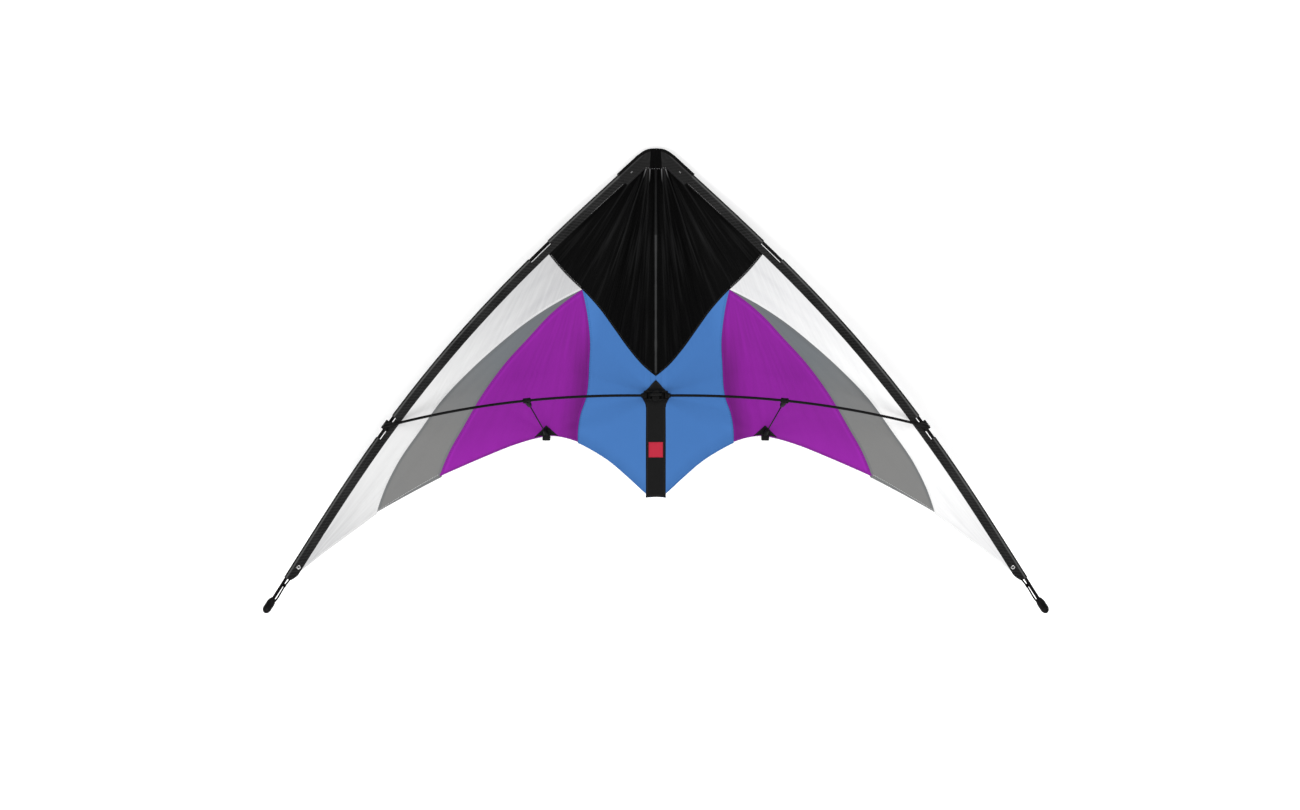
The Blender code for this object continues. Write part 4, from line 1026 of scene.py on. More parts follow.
rods = {"edge": 2.5, "spine": 2.5, "spreader": 2.0, "standoff": 1.0, "spineEnds": (181.0, 694.0)}
spreader = {"start": 18.2, "straight": 36.0, "hubLift": 8.5, "edgeLift": 6.0, "bow": 12.0, "bend": 2.1,
            "clip": 196.0}
edgePoint = alongEdge(passedAt(marks["connector"]), sleeve["rodInset"])[0]


# The spreader's middle line: square to the spine at the hub, bent down to the leading edge as a power of the
# share passed, and bowed to the front as a squared sine.
def spreaderLine(x):
    x = np.asarray(x, float)
    share = np.clip((x - spreader["straight"]) / (edgePoint[0] - spreader["straight"]), 0, 1.02)
    y = centre["hubHeight"] - (centre["hubHeight"] - edgePoint[1]) * share ** spreader["bend"]
    rise = (spreader["edgeLift"] - spreader["hubLift"]) * share**2
    z = spreader["hubLift"] + rise + spreader["bow"] * np.sin(np.pi * np.minimum(share, 1)) ** 2
    return np.stack([x, y, z], axis=-1)


# The foot's own frame on the sail: its point, and unit directions up along the cloth and out of it.
def footFrame():
    x, y = sail["foot"]
    riseX = float(sailDepth(x + 1, y) - sailDepth(x - 1, y)) / 2
    riseY = float(sailDepth(x, y + 1) - sailDepth(x, y - 1)) / 2
    front, right = unit(np.array((-riseX, -riseY, 1))), unit(np.array((1, 0, riseX)))
    return np.array((x, y, float(sailDepth(x, y)))), np.cross(front, right), front


footPoint, footUp, footFront = footFrame()
clipPoint = spreaderLine(spreader["clip"])
standoffFoot = footPoint + 5 * footFront
standoffAhead = unit(standoffFoot - clipPoint)


def makeRods():
    spine = rodShape([(0, y, centre["spineBack"]) for y in rods["spineEnds"]], rods["spine"], 24)
    addPiece("spine", meshOf("spine", [spine]), "rod", ["spine_rod"])
    edgeLine = edgeLift(np.arange(3, passedAt(marks["capTop"]) + 12, 8.0), sleeve["rodInset"])
    places = np.r_[spreader["start"], np.linspace(spreader["straight"], edgePoint[0] + 1.5, 56)]
    standoffLine = [clipPoint + 5.2 * standoffAhead, standoffFoot - 0.3 * standoffAhead]
    for side in wings:
        for name, line, size, sides in (
            ("leading_edge", edgeLine, rods["edge"], 24),
            ("spreader", spreaderLine(places), rods["spreader"], 24),
            ("standoff", standoffLine, rods["standoff"], 16),
        ):
            piece = f"{side}_{name}"
            mesh = meshOf(piece, [rodShape(line, size, sides)], side)
            addPiece(piece, mesh, "rod", [f"{piece}_rod"], f"{side}_wing")


makeRods()
makeSleeves()
print("kite: the rods and sleeves are in")


# Webbing patches, strip and label


# A closed shell from a plan in the kite's plane with a front and a back height at each point. Its sides join
# the two faces all round.
def shellShape(plan, front, back):
    rows, columns = plan.shape[:2]
    points = np.concatenate([np.dstack([plan, level]).reshape(-1, 3) for level in (front, back)])
    count = rows * columns
    index = np.arange(count).reshape(rows, columns)
    ring = np.concatenate([index[0], index[1:, -1], index[-1, -2::-1], index[-2:0:-1, 0]])
    after = np.roll(ring, -1)
    sides = np.stack([ring, after, after + count, ring + count], axis=-1)
    return points, [gridQuads(rows, columns), gridQuads(rows, columns, False, count), sides]


def rimDistance(plan):  # how far each point of a plan is from the plan's own outline
    outline = np.concatenate([plan[0], plan[1:, -1], plan[-1, -2::-1], plan[-2::-1, 0]])
    keep = np.r_[True, np.linalg.norm(np.diff(outline, axis=0), axis=1) > 1e-6]
    return nearLine(plan[..., 0], plan[..., 1], outline[keep])[0]


# The share of its full thickness that a cloth edge has this far from its rim: a quarter round.
def rounding(distance, radius):
    return np.sqrt(1 - (1 - np.clip(distance / radius, 0, 1)) ** 2)


noseCap = {
    "outer": ((0.0, 707.2), (4.0, 707.0), (10.5, 706.3), (15.9, 704.5), (19.0, 702.9), (22.2, 700.9),
              (25.6, 698.2)),
    "proud": 1.9, "lower": 675.0, "level": 17.0, "armWidth": 22.0, "flat": 1.5, "ridge": 4.3,
    "recess": (6.8, 8.8), "binding": 4.6,
    # upright folds in the recess: place, height and width
    "folds": ((-5.6, 0.8, 1.0), (-2.2, -0.5, 1.2), (0.7, 0.6, 0.9), (3.1, -0.45, 1.0), (5.9, 0.75, 1.1)),
}


def noseRim(start, end, count=16, first=0):  # the webbing's outer rim, from the middle on along the edge
    along = alongEdge(np.linspace(start, end, count), -noseCap["proud"])
    return np.concatenate([noseCap["outer"][first:], along])


# How far in from the leading edge's outer line points by the nose are, as if it ran straight, and how much
# the rod below swells the webbing there: e to the cubed distance from the rod, turned negative.
def noseInset(points):
    turn = math.radians(edge["heading"][0])
    return (alongEdge(0, 0)[0] - points) @ np.array((math.sin(turn), math.cos(turn)))


def noseSwell(x, inset):
    swell = np.exp(-np.abs((inset - sleeve["rodInset"]) / 4.4) ** 3)
    return (noseCap["ridge"] - noseCap["flat"]) * swell * smoothStep(16, 24, x)


# One arm of the nose webbing. Its front and back swell over the leading edge rod, its outer rim is bound with
# a second layer, and the recess in the middle is left open between the arms.
def noseArmShape():
    end = passedAt(marks["noseArmEnd"])
    outer = noseRim(4, end)
    top, low = noseCap["recess"]
    outer = np.concatenate([[(top, np.interp(top, *outer.T))], outer[outer[:, 0] > top + 0.5]])
    corner = alongEdge(end, noseCap["armWidth"])[0]
    inner = np.array([(low, noseCap["lower"]), (noseCap["level"], noseCap["lower"]), corner])
    sides = straightLine(outer[0], inner[0], 4), straightLine(outer[-1], corner, 4)
    plan = panelPlan(outer, inner, *sides, 1.1)
    x, y = plan[..., 0], plan[..., 1]
    rim = rimDistance(plan)
    outerRim = nearLine(x, y, evenly(outer, 90))[0]
    bound = 0.45 * (1 - smoothStep(noseCap["binding"] - 0.7, noseCap["binding"], outerRim))
    half = noseCap["flat"] + noseSwell(x, noseInset(plan)) + bound
    ripple = 0.12 * np.sin((x + 0.7 * y) / 2.4) * smoothStep(2, 7, rim)
    return shellShape(plan, (half + ripple) * rounding(rim, 1.0), -half * rounding(rim, 1.0))


# The cloth in the middle of the nose: its front lies in the recess with a few upright folds, and its back is
# the pocket round the spine's end.
def noseMiddleShape():
    plan = flatGrid(np.linspace(-11.5, 11.5, 47), np.linspace(707.0, 674.2, 30))
    plan[..., 1] -= 1.2 * (plan[..., 0] / 11.5) ** 2 * (plan[..., 1] > 705)
    x, y = plan[..., 0], plan[..., 1]
    rim = rimDistance(plan)
    rise = sum(height * bell(x - place - 0.5 * np.sin(y / 6 + place), width)
               for place, height, width in noseCap["folds"])
    front = (0.9 + rise * smoothStep(0.8, 4.5, rim)) * rounding(rim, 0.8)
    pocket = 6.6 * np.sqrt(np.clip(1 - (x / 5.2) ** 2, 0, 1)) * smoothStep(0, 5, 702 - y)
    return shellShape(plan, front, -(1.0 + pocket) * rounding(rim, 0.8))


hubPatch = {
    "outer": ((0.0, 354.2), (5.0, 349.6), (8.6, 345.1), (12.8, 340.5), (18.2, 335.9), (22.6, 331.5),
              (20.8, 326.8), (18.2, 322.2), (15.7, 317.0), (15.4, 313.2)),
    "lift": 1.15, "half": 0.28,
}


# Half of the patch at the hub: a shell on the sail between its outer line and the middle of the kite.
def hubPatchShape():
    outer = np.array(hubPatch["outer"])
    inner = straightLine(outer[0], (0, outer[-1][1]), 4)
    top, bottom = np.repeat(outer[:1], 3, axis=0), straightLine(outer[-1], inner[-1], 4)
    plan = panelPlan(outer, inner, top, bottom, 0.9)
    x, y = plan[..., 0], plan[..., 1]
    height = sailDepth(x, y) + hubPatch["lift"]
    thick = hubPatch["half"] * rounding(rimDistance(np.maximum(plan, (0, 0))), 0.6)
    thick = np.where(x < 1.2, hubPatch["half"], thick)
    return shellShape(plan, height + thick, height - thick)


strip = {"front": 1.0, "hem": 2.6, "dome": 0.25, "tunnel": 4.4, "tunnelDepth": 7.0}


# The black strip below the hub: slightly domed, hemmed along its rims, with the spine's tunnel on its back.
def stripShape():
    half, low = centre["half"], centre["stripLow"]
    plan = flatGrid(np.linspace(-half, half, 45), np.linspace(centre["stripHigh"] + 1.5, low, 110))
    plan[..., 1] += 1.2 * smoothStep(20, 0, plan[..., 1] - low) * (1 - (plan[..., 0] / half) ** 2)
    x, y = plan[..., 0], plan[..., 1]
    rim = rimDistance(plan)
    hem = 0.22 * (1 - smoothStep(strip["hem"] - 0.5, strip["hem"], rim))
    ripple = 0.06 * np.sin(y / 3.1) * np.sin(x / 2.3)
    front = (strip["front"] + hem + ripple + strip["dome"] * (1 - (x / half) ** 2)) * rounding(rim, 0.7)
    tunnel = strip["tunnelDepth"] * np.sqrt(np.clip(1 - (x / strip["tunnel"]) ** 2, 0, 1))
    tunnel = tunnel * rounding(y - low - 1.5, 5.0)
    return shellShape(plan, front, -(0.6 + tunnel + hem) * rounding(rim, 0.7))


label = {"low": 236.3, "high": 259.8, "half": 11.0, "front": 1.75, "border": 1.3}


def labelShape():  # the plain label: a small woven square with turned-in edges
    half = label["half"]
    plan = flatGrid(np.linspace(-half, half, 41), np.linspace(label["high"], label["low"], 43))
    rim = rimDistance(plan)
    fold = 0.12 * (1 - smoothStep(label["border"] - 0.5, label["border"], rim))
    front = (label["front"] + fold - 0.1 * bell(rim - label["border"] - 0.6, 0.5)) * rounding(rim, 0.5)
    return shellShape(plan, np.maximum(front, 1.15), np.full_like(rim, 1.0))


footPatch = {"outer": (186.0, 266.4), "inner": (149.5, 269.0), "tip": (167.5, 285.0), "lift": 0.55,
             "half": 0.25}


def footPatchShapes(side):
    outer, inner = (straightLine(footPatch[corner], footPatch["tip"], 4) for corner in ("outer", "inner"))
    hem = purpleHem[(purpleHem[:, 0] < footPatch["outer"][0]) & (purpleHem[:, 0] > footPatch["inner"][0])]
    plan = panelPlan(outer, inner, between(hem, outer[0], inner[0]), np.repeat(outer[-1:], 3, axis=0), 1.0)
    height = sailSurface(plan[..., 0], plan[..., 1], side)
    thick = footPatch["half"] * rounding(rimDistance(plan), 0.5)
    for away in (footPatch["lift"], -footPatch["lift"]):
        yield shellShape(plan, height + away + thick, height + away - thick)


tunnel = {"section": ((-8.2, -0.75), (-6.2, -0.9), (-4.6, -1.4), (-3.7, -2.4), (-3.35, -3.8), (-3.1, -5.3),
                      (-2.2, -6.5), (-0.9, -7.1), (0.0, -7.2)),
          "ends": (677.0, 378.0), "rows": 76, "thickness": 0.4}


# The spine's tunnel behind the black cloth: an open channel of cloth from the nose to above the hub.
def makeTunnel():
    across = np.array(tunnel["section"])
    across = np.concatenate([across, (across * (-1, 1))[-2::-1]])
    y = np.linspace(*tunnel["ends"], tunnel["rows"])[:, None]
    pinch = 1 + 0.02 * np.sin(y / 4.1)
    grid = np.stack([across[:, 0] * pinch, y + 0 * across[:, 0], across[:, 1] * pinch], axis=-1)
    mesh = meshFrom("spine_tunnel", grid.reshape(-1, 3), [gridQuads(*grid.shape[:2])], closed=False)
    mesh.flip_normals()
    thing = addPiece("spine_tunnel", mesh, "tunnel", ["upper_centre_panel"])
    thicken(thing, tunnel["thickness"])
    declareCloth(grid)


def makeCentre():
    makeTunnel()
    for name, shape, finish, node in (
        ("centre_strip_cloth", stripShape(), "patch", "centre_strip"),
        ("label", labelShape(), "label", "centre_label"),
        ("nose_middle", noseMiddleShape(), "recess", "nose_centre"),
    ):
        addPiece(name, meshOf(name, [shape]), finish, [node])
    for side in wings:
        arm = meshOf(f"{side}_nose_arm", [noseArmShape()], side)
        layAlongEdge(arm)
        x, y, _ = kitePoints(arm).T
        keepOn(arm, "rimDistance", nearLine(np.abs(x), y, evenly(noseRim(4, 60), 90))[0])
        addPiece(arm.name, arm, "nose", [f"{side}_nose_webbing"], bends=side)
        patch = meshOf(f"{side}_hub_patch", [hubPatchShape()], side)
        addPiece(patch.name, patch, "patch", ["centre_patch"], bends=side)
        patch = meshOf(f"{side}_foot_patch", footPatchShapes(side), side)
        addPiece(patch.name, patch, "patch", [f"{side}_trailing_edge_patch"], f"{side}_wing")


makeCentre()
print("kite: the strip, label and patches are on")


# Stitching


stitch = {"pitch": 3.0, "length": 2.1, "half": 0.3, "rise": 0.24}


# One stitch as a slim bar with tapered ends: its points along, across and up, and its faces.
def stitchPattern():
    section = np.array(((-1.0, 0.0), (-0.5, 0.9), (0.5, 0.9), (1.0, 0.0), (0.0, -0.5)))
    rings = [np.c_[np.full(5, share), section * scale]
             for share, *scale in ((0.14, 0.75, 0.7), (0.5, 1.0, 1.0), (0.86, 0.75, 0.7))]
    points = np.concatenate([[(0, 0, 0.2)], *rings, [(1, 0, 0.2)]])
    fans = fanTriangles(np.arange(1, 6), 0), fanTriangles(np.arange(11, 16), 16)
    return points, [gridQuads(3, 5, True, 1), *fans]


stitchPoints, stitchFaces = stitchPattern()


# A row of stitches along a line in the kite's plane, on a surface given as a height function: the pattern is
# placed at every stitch by its own three directions. On the back the stitches stand the other way.
def stitchRow(line, heightAt, back=False):
    at = lengthsAlong(line)
    count = int(at[-1] / stitch["pitch"])
    if count < 1:
        return np.empty((0, 3)), []
    starts = (np.arange(count) + (0.65 if back else 0.15)) * at[-1] / (count + 0.5)
    ends = []
    for places in (starts, starts + stitch["length"]):
        flat = readOff(places, at, line)
        ends.append(np.column_stack([flat, heightAt(flat[:, 0], flat[:, 1])]))
    along = ends[1] - ends[0]
    ahead = unit(along)
    side = unit(np.cross(ahead, (0, 0, -1.0 if back else 1.0)))
    rise = np.cross(side, ahead)
    share, across, up = (stitchPoints[:, axis][None, :, None] for axis in range(3))
    points = ends[0][:, None] + share * along[:, None]
    points = points + stitch["half"] * across * side[:, None] + stitch["rise"] * up * rise[:, None]
    first = (np.arange(count) * len(stitchPoints))[:, None, None]
    faces = [(group[None] + first).reshape(-1, group.shape[1]) for group in stitchFaces]
    return points.reshape(-1, 3), faces


# Height functions: on the sail with a lift, on its front or its back; level; and on the nose and hub patches.
def onSail(side, lift, back=False):
    def heightAt(x, y):
        height = sailSurface(x, y, side, lift)
        if not back:
            return height + sail["thickness"] / 2
        return height - sail["thickness"] / 2 - sail["tuck"] * isBlack(x, y)

    return heightAt


def level(height):
    return lambda x, y: np.full(np.shape(x), float(height))


def noseFront(x, y):
    return noseCap["flat"] + noseSwell(x, noseInset(np.stack([x, y], axis=-1))) + 0.05


def hubPatchFront(x, y):
    return sailDepth(x, y) + hubPatch["lift"] + hubPatch["half"]


def clearOf(row, inner):  # a row's part that is past the strip and clear of the tape
    return row[(row[:, 0] > inner) & (nearLine(row[:, 0], row[:, 1], edgePoints)[0] > 18)]


# Every row on one wing, by the thread's finish.
def wingStitches(side):
    lifts, outer = sail["lifts"], blackEdge[0]
    noseEnd, tipEnd = passedAt(marks["noseArmEnd"]), passedAt(marks["sleeveEnd"])
    for inset, height, end in ((9.9, 0.84, 27.0), (15.3, 0.52, 17.0)):
        row = edgeRun(noseEnd + 4, tipEnd - end, inset)
        yield "thread", stitchRow(row, level(height))
        yield "thread", stitchRow(row, level(-height), True)
    yield "pale_thread", stitchRow(edgeRun(noseEnd + 3, noseEnd + 72, 15.9), level(0.52))
    for offset in (0.9, 2.3):
        lower = shifted(blackEdge, offset)
        for finish, row, front, behind in (
            ("thread", lower[lower[:, 0] <= 112], "black", "blue"),
            ("pale_thread", lower[lower[:, 0] > 112], "black", "white"),
            ("white_thread", shifted(seams["white"][4:], -offset), "white", "grey"),
            ("purple_thread", shifted(seams["grey"][4:], offset), "purple", "grey"),
            ("blue_thread", shifted(seams["purple"][4:], offset), "blue", "purple"),
        ):
            row = clearOf(row, 3.5)
            yield finish, stitchRow(row, onSail(side, lifts[front]))
            yield finish, stitchRow(row, onSail(side, lifts[behind], True), True)
    for finish, name, colour, offset in (
        ("blue_thread", "blue", "blue", 3.2),
        ("purple_thread", "purpleInner", "purple", -3.2),
        ("purple_thread", "purpleOuter", "purple", -3.2),
        ("white_thread", "grey", "grey", -3.2),
        ("white_thread", "white", "white", -3.2),
    ):
        row = clearOf(shifted(hems[name], offset), 17)
        yield finish, stitchRow(row, onSail(side, lifts[colour]))
        yield finish, stitchRow(row, onSail(side, lifts[colour], True), True)
    front, recess, low = noseCap["flat"] + 0.06, noseCap["recess"][1], 677.2
    inner = np.array([(recess + 1, low), (noseCap["level"] + 1, low), alongEdge(noseEnd, 19.6)[0]])
    yield "thread", stitchRow(shifted(noseRim(6, noseEnd - 3, 14, 3), 5.6), noseFront)
    yield "pale_thread", stitchRow(inner[:2], level(front))
    yield "pale_thread", stitchRow([(0.5, 676.0), (recess, 676.0)], level(1.05))
    yield "thread", stitchRow(inner[1:], level(front))
    for step in np.linspace(-1.4, 1.4, 6):
        middle = np.array((37.0, 670.9)) + step * np.array((0.72, -0.69))
        across = 1.7 * np.array((0.69, 0.72))
        yield "pale_thread", stitchRow([middle - across, middle + across], level(front))
    yield "thread", stitchRow(shifted(evenly(hubPatch["outer"], 30), 1.6)[2:-2], hubPatchFront)
    for corner, offset in (("outer", -1.4), ("inner", 1.4)):
        row = shifted(straightLine(footPatch[corner], footPatch["tip"], 6), offset)
        yield "thread", stitchRow(row, onSail(side, footPatch["lift"] + 0.15))


# The rows on the strip and the label.
def centreStitches():
    half, low, high = centre["half"] - strip["hem"], centre["stripLow"] + 4, centre["stripHigh"]
    for x in (-half, half):
        yield "thread", stitchRow([(x, high), (x, low)], level(strip["front"] + 0.28))
        yield "thread", stitchRow([(x, high), (x, low)], level(-0.6), True)
    yield "thread", stitchRow([(-half, low), (half, low)], level(strip["front"] + 0.38))
    border = label["border"]
    side, high, low = label["half"] - border, label["high"] - border, label["low"] + border
    corners = [(-side, high), (side, high), (side, low), (-side, low), (-side, high)]
    for ends in zip(corners[:-1], corners[1:]):
        yield "label", stitchRow(ends, level(label["front"] + 0.1))


def makeStitches():
    for side in (*wings, "centre"):
        rows = {}
        for finish, shape in centreStitches() if side == "centre" else wingStitches(side):
            if len(shape[0]):
                rows.setdefault(finish, []).append(shape)
        for finish, shapes in rows.items():
            piece = f"{side}_{finish}_stitches".replace("thread_", "").replace("_thread", "")
            addPiece(piece, meshOf(piece, shapes, side), finish, bends=side if side in wings else None)


makeStitches()
print("kite: the stitches are sewn")


# Fittings


# A block with rounded corners and softened ends between two points.
def blockShape(start, toward, halfWidth, halfHeight, soft=0.8, power=5.0, lift=(0, 0, 1), sides=32):
    length = np.linalg.norm(np.asarray(toward, float) - start)
    turn = np.linspace(0, np.pi / 2, 5)
    before, less = soft * (1 - np.sin(turn)), soft * (1 - np.cos(turn))
    distances, less = np.r_[before[::-1], length - before], np.r_[less[::-1], less]
    distances[1:] += 1e-4 * np.arange(1, len(distances))
    path = straightPath(start, toward, distances)
    return barShape(loft(path, halfWidth - less, halfHeight - less, power, sides, lift))


def ribbed(length, radius, ribs, depth=0.3, soft=0.7):  # a bar's profile with rounded ends and ribs
    end = np.array(((0, -soft), (0.25 * soft, -0.35 * soft), (soft, 0)))
    rib = np.array(((-0.9, 0), (-0.5, depth), (0.5, depth), (0.9, 0)))
    places = np.linspace(0.2, 0.8, ribs) * length
    far = end[::-1] * (-1, 1) + (length, 0)
    return np.concatenate([end, *(rib + (place, 0) for place in places), far]) + (0, radius)


# In the fittings' values a profile is pairs of distance and radius, and a block is its half width, half
# height, softness and power.
hub = {
    "clamp": (10.1, 5.2, 3, 2.8),  # half length, radius, ribs and hole
    "boss": (-4.0, 8.8, (6.0, 8.4, 1.8, 4.0)),  # from, to and block
    "plate": (1.5, 3.2, (12.6, 8.2, 0.6, 5.0)),
    "cap": (9.6, 1.6, 7.4),  # half length, and its place above the middle and to the front
    "capProfile": ((0, 2.2), (0.4, 2.9), (1.2, 3.2), (18.0, 3.2), (18.8, 2.9), (19.2, 2.2)),
    "ears": (4.7, 7.3), "ear": (4.5, 4.8, (1.3, 2.5, 0.5)),
    "eye": ((0, 2.4), (0.3, 2.8), (2.3, 2.8), (2.6, 2.4)),
    "pinHalf": 7.7, "pin": ((0, 0.8), (0.2, 1.2), (15.2, 1.2), (15.4, 0.8)),
}


# The hub: a clamp on the spine, a boss through the sail with a rounded cap, a base plate, and two pairs of
# ears with their pins.
def hubShapes():
    y, back, z = centre["hubHeight"], centre["spineBack"], hinge["z"]
    half, radius, ribs, hole = hub["clamp"]
    yield turned((0, y - half, back), (0, y + half, back), ribbed(2 * half, radius, ribs), hole)
    for low, high, block in (hub["boss"], hub["plate"]):
        yield blockShape((0, y, low), (0, y, high), *block, (0, 1, 0))
    half, up, front = hub["cap"]
    yield turned((-half, y + up, front), (half, y + up, front), hub["capProfile"])
    start, front, block = hub["ear"]
    for sign in (-1, 1):
        x = sign * hinge["x"]
        for end in (-1, 1):
            inner, outer = (y + end * place for place in hub["ears"])
            middle = (inner + outer) / 2
            yield blockShape((sign * start, middle, front), (x, middle, front), *block)
            yield turned((x, inner, z), (x, outer, z), hub["eye"])
        yield turned((x, y - hub["pinHalf"], z), (x, y + hub["pinHalf"], z), hub["pin"])


socket = {
    "knuckleHalf": 4.4, "knuckle": ((0, 2.5), (0.3, 2.8), (8.5, 2.8), (8.8, 2.5)), "hole": 1.4,
    "heel": ((13.2, 3.9), (16.2, 3.9), (4.2, 1.1, 0.4, 6.0)),  # from, to and block
    "neck": ((15.4, 6.7), (20.5, 7.4), (4.0, 2.6, 0.9, 4.0)),
    "from": 17.6, "to": 22.8, "bore": 2.05,
    "barrel": ((0, 2.5), (0.4, 3.0), (1.2, 3.3), (3.0, 3.3), (3.5, 3.5), (4.5, 3.5), (5.0, 3.0), (5.2, 2.3)),
}


# The hinged socket: a knuckle on the hub's pin, a heel, a neck and the barrel that takes the spreader.
def socketShapes():
    x, y, z, half = hinge["x"], centre["hubHeight"], hinge["z"], socket["knuckleHalf"]
    yield turned((x, y - half, z), (x, y + half, z), socket["knuckle"], socket["hole"])
    for start, end, block in (socket["heel"], socket["neck"]):
        yield blockShape((start[0], y, start[1]), (end[0], y, end[1]), *block)
    front = spreader["hubLift"]
    yield turned((socket["from"], y, front), (socket["to"], y, front), socket["barrel"], socket["bore"])


connector = {
    "half": 7.5, "inset": 2.8, "radius": 5.6, "ribs": 3, "hole": 2.75,
    "neck": (0.5, 6.2, (5.4, 4.4, 0.8, 4.0)),  # from, to and block
    "reach": 15.0, "past": 6.0, "mouth": ((0, 2.4), (0.3, 3.1), (1.0, 3.5)),
    "end": ((9.0, 3.8), (2.2, 3.8), (0.9, 3.3), (0.2, 2.2), (0, 1.0)),  # distances back from its end
}


# The fitting on the leading edge: a ribbed clamp on the rod, a neck, and a ferrule for the spreader's outer
# end.
def connectorShapes():
    passed, half = passedAt(marks["connector"]), connector["half"]
    clamp = ribbed(2 * half, connector["radius"], connector["ribs"])
    yield turned(*edgeLift([passed - half, passed + half], connector["inset"]), clamp, connector["hole"])
    x, y = edgePoint
    low, high, block = connector["neck"]
    yield blockShape((x, y, low), (x, y, high), *block, (0, 1, 0))
    inner, outer = spreaderLine(x - connector["reach"]), spreaderLine(x)
    length = np.linalg.norm(outer - inner) + connector["past"]
    end = [(length - distance, radius) for distance, radius in connector["end"]]
    yield turned(inner, outer, [*connector["mouth"], *end])


clip = {"half": 6.0, "barrel": (4.0, 2, 0.25), "hole": 2.05,  # the barrel's radius, ribs and their height
        "drop": ((0, 4.3), (4, 4.5), (9, 4.2), (12.5, 3.6), (15, 2.9), (16.2, 2.2), (16.6, 1.3))}


# The standoff's clip: a barrel round the spreader and a drop-shaped socket for the standoff.
def clipShapes():
    before, after = (spreaderLine(spreader["clip"] + end * clip["half"]) for end in (-1, 1))
    yield turned(before, after, ribbed(np.linalg.norm(after - before), *clip["barrel"]), clip["hole"])
    yield turned(clipPoint, clipPoint + standoffAhead, clip["drop"], lift=(1, 0, 0))


foot = {
    # two jaws and the bridge, as from, to, front and block
    "blocks": ((-10, 8, 3.0, (5.9, 1.25, 0.7, 5.0)), (-10, 6, -2.4, (5.9, 1.15, 0.7, 5.0)),
               (-10.2, -5.0, 0.2, (5.9, 3.6, 0.9, 5.0))),
    "domeBack": 1.7,
    "dome": ((0, 4.2), (0.4, 4.9), (1.6, 5.0), (3.0, 4.6), (4.4, 3.7), (5.5, 2.3), (6.0, 0.9), (6.1, 0.3)),
    "socketPast": 1.8, "socket": ((0, 3.3), (6, 3.2), (11, 2.7), (14, 2.2), (15.0, 1.9), (15.3, 1.3)),
}


# The foot on the trailing edge: two jaws over the hem, a bridge, a round dome at the back and the standoff's
# socket.
def footShapes():
    for low, high, front, block in foot["blocks"]:
        start, end = (footPoint + up * footUp + front * footFront for up in (low, high))
        yield blockShape(start, end, *block, footFront)
    start = footPoint - foot["domeBack"] * footFront
    yield turned(start, start - footFront, foot["dome"], lift=footUp)
    yield turned(standoffFoot + foot["socketPast"] * standoffAhead, standoffFoot, foot["socket"], lift=footUp)


cap = {
    "back": 2.5, "inset": 3.9, "straight": 20.0,
    "mouth": ((0, 3.3), (0.5, 3.9), (1.4, 4.1), (2.4, 4.7), (5.5, 5.9), (8.5, 6.5)),
    "grooves": (12.0, 14.5, 17.0), "groove": ((-0.7, 6.6), (-0.35, 6.3), (0.35, 6.3), (0.7, 6.6)),
    "end": ((19.6, 6.4), (22.0, 5.8), (24.0, 4.7), (25.5, 3.2), (26.3, 1.6), (26.6, 0.5)),
}


# The cap on the rod's outer end: a narrow mouth with a rim, grooves for grip and a round end.
def capShape():
    start = passedAt(marks["capTop"]) - cap["back"]
    grooves = [(place + step, radius) for place in cap["grooves"] for step, radius in cap["groove"]]
    axis = edgeLift([start, start + cap["straight"]], cap["inset"])
    return turned(*axis, [*cap["mouth"], *grooves, *cap["end"]])


tipCord = {
    "back": 3.0, "past": 5.0, "radius": 1.3, "sway": (0.25, 9),
    "insets": ((0, 0.12, 0.3, 0.5, 0.8, 1), (9.6, 9.2, 8.0, 8.4, 8.9, 7.4)),  # at shares of its length
    "knotAt": (0.3, 0.5, 8.0),
    "knot": ((0, 0.8), (0.4, 1.6), (1.4, 2.1), (3.0, 1.9), (4.6, 2.2), (5.6, 1.6), (6.0, 0.8)),
}


# The tension cord at the tip: from the sleeve's end to a knot at the rod, and beside the rod into the cap.
def tipCordShapes():
    start, end = passedAt(marks["sleeveEnd"]) - tipCord["back"], passedAt(marks["capTop"]) + tipCord["past"]
    passed = np.linspace(start, end, 40)
    share = (passed - start) / (end - start)
    inset = np.pad(np.interp(share, *tipCord["insets"]), 4, "edge")
    inset = np.convolve(inset, np.full(9, 1 / 9), "valid")
    size, turns = tipCord["sway"]
    line = np.column_stack([alongEdge(passed, inset), size * np.sin(share * turns)])
    yield rodShape(line, tipCord["radius"], 12)
    *shares, inset = tipCord["knotAt"]
    knot, beyond = edgeLift(start + np.array(shares) * (end - start), inset)
    half = tipCord["knot"][-1][0] / 2
    yield turned(knot - half * unit(beyond - knot), beyond, tipCord["knot"], sides=16)


eyelet = {
    "back": 24.0, "inset": 10.8, "sides": 36,
    # its rolled section, as radius and height
    "section": ((1.15, 0.0), (1.25, 1.3), (1.7, 1.8), (2.4, 1.9), (3.0, 1.6), (3.3, 1.0), (2.2, 0.6),
                (2.2, -0.6), (3.3, -1.0), (3.0, -1.6), (2.4, -1.9), (1.7, -1.8), (1.25, -1.3)),
}


# The eyelet in the sleeve: a rolled ring whose section is a rounded loop turned about its axis.
def eyeletShape():
    x, y = alongEdge(passedAt(marks["sleeveEnd"]) - eyelet["back"], eyelet["inset"])[0]
    turn = np.linspace(0, 2 * np.pi, eyelet["sides"], endpoint=False)[:, None]
    radius, height = np.transpose(eyelet["section"])
    grid = np.stack([x + np.cos(turn) * radius, y + np.sin(turn) * radius, height + 0 * turn], axis=-1)
    rows, columns = grid.shape[:2]
    return grid.reshape(-1, 3), [gridQuads(rows + 1, columns, True) % (rows * columns)]


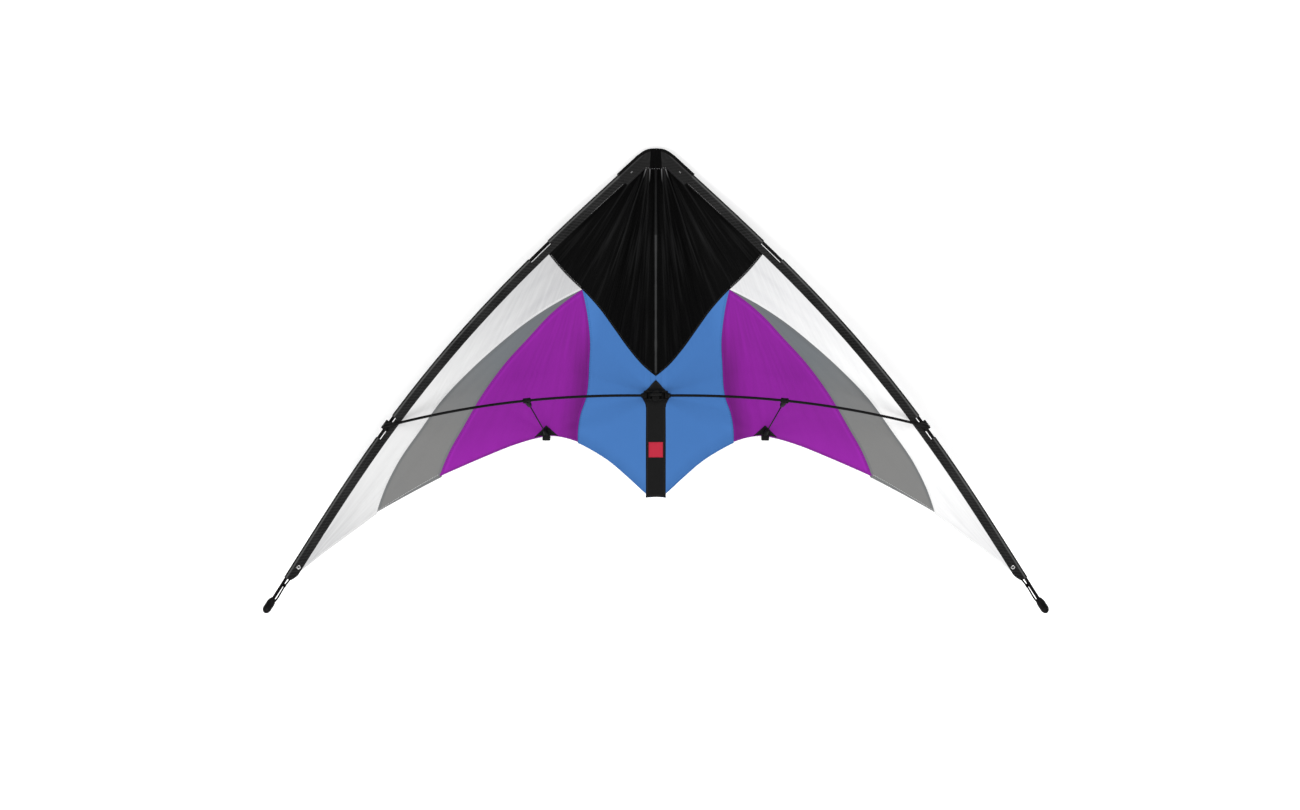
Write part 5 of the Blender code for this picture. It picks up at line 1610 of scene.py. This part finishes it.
def makeFittings():
    addPiece("hub_fitting", meshOf("hub_fitting", hubShapes()), "fitting", ["hub"])
    for side in wings:
        for name, shapes, finish, node in (
            ("socket", socketShapes(), "fitting", "spreader_socket"),
            ("edge_connector", connectorShapes(), "fitting", "leading_edge_connector"),
            ("clip", clipShapes(), "fitting", "standoff_clip"),
            ("foot", footShapes(), "fitting", "trailing_edge_foot"),
            ("cap", [capShape()], "fitting", "wing_end_cap"),
            ("tip_line", tipCordShapes(), "cord", "tip_cord"),
            ("eyelet_ring", [eyeletShape()], "eyelet", "eyelet"),
        ):
            piece = f"{side}_{name}"
            addPiece(piece, meshOf(piece, shapes, side), finish, [f"{side}_{node}"], f"{side}_wing")


makeFittings()
print("kite: the fittings are on")


# Floor and lights


# Each light: distance, elevation, turn from the nose's side, size and power.
lights = {
    "key": (3.2, 54, 186, (2.6, 1.8), 79),
    "back": (3.4, 50, 8, (2.6, 1.8), 56),
    "left": (3.4, 48, 264, (2.0, 2.0), 40),
    "right": (3.4, 48, 96, (2.0, 2.0), 36),
}
floor = {"grey": 0.95, "glow": 0.18, "reach": 14.0, "drop": 0.0005}
white = (1, 1, 1, 1)


def addArea(name, away, elevation, turn, size, power):
    data = bpy.data.lights.new(name, "AREA")
    data.shape = "RECTANGLE"
    data.size, data.size_y = size
    data.energy = power
    lift, swing = math.radians(elevation), math.radians(turn)
    toward = math.sin(swing) * math.cos(lift), math.cos(swing) * math.cos(lift), math.sin(lift)
    place = Vector(toward) * away
    thing = addObject(name, data)
    thing.location = Vector((0, 0, 0.05)) + place
    thing.rotation_mode = "QUATERNION"
    thing.rotation_quaternion = place.to_track_quat("Z", "Y")


def makeStage():
    mesh = bpy.data.meshes.new("floor")
    square = np.array(((-1, -1, 0), (1, -1, 0), (1, 1, 0), (-1, 1, 0)))
    corners = floor["reach"] * square - (0, 0, floor["drop"])
    mesh.from_pydata(corners.tolist(), [], [(0, 1, 2, 3)])
    made, tree, shader = newMaterial("pale floor", 0.9, 0.1)
    feed(shader, {"Base Color": (*[floor["grey"]] * 3, 1), "Emission Color": white,
                  "Emission Strength": floor["glow"]})  # a lit table, so shadows stay faint
    mesh.materials.append(made)
    addObject("floor", mesh)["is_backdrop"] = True
    for name, values in lights.items():
        addArea(name, *values)
    world = bpy.data.worlds.new("studio")
    world.use_nodes = True
    feed(world.node_tree.nodes["Background"], {"Color": white, "Strength": 0.22})
    bpy.context.scene.world = world
    bpy.context.scene.view_settings.view_transform = "Standard"


makeStage()
print("kite: the floor and lights are set")

[[list(corner) for corner in box] for box in (cadBox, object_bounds())]
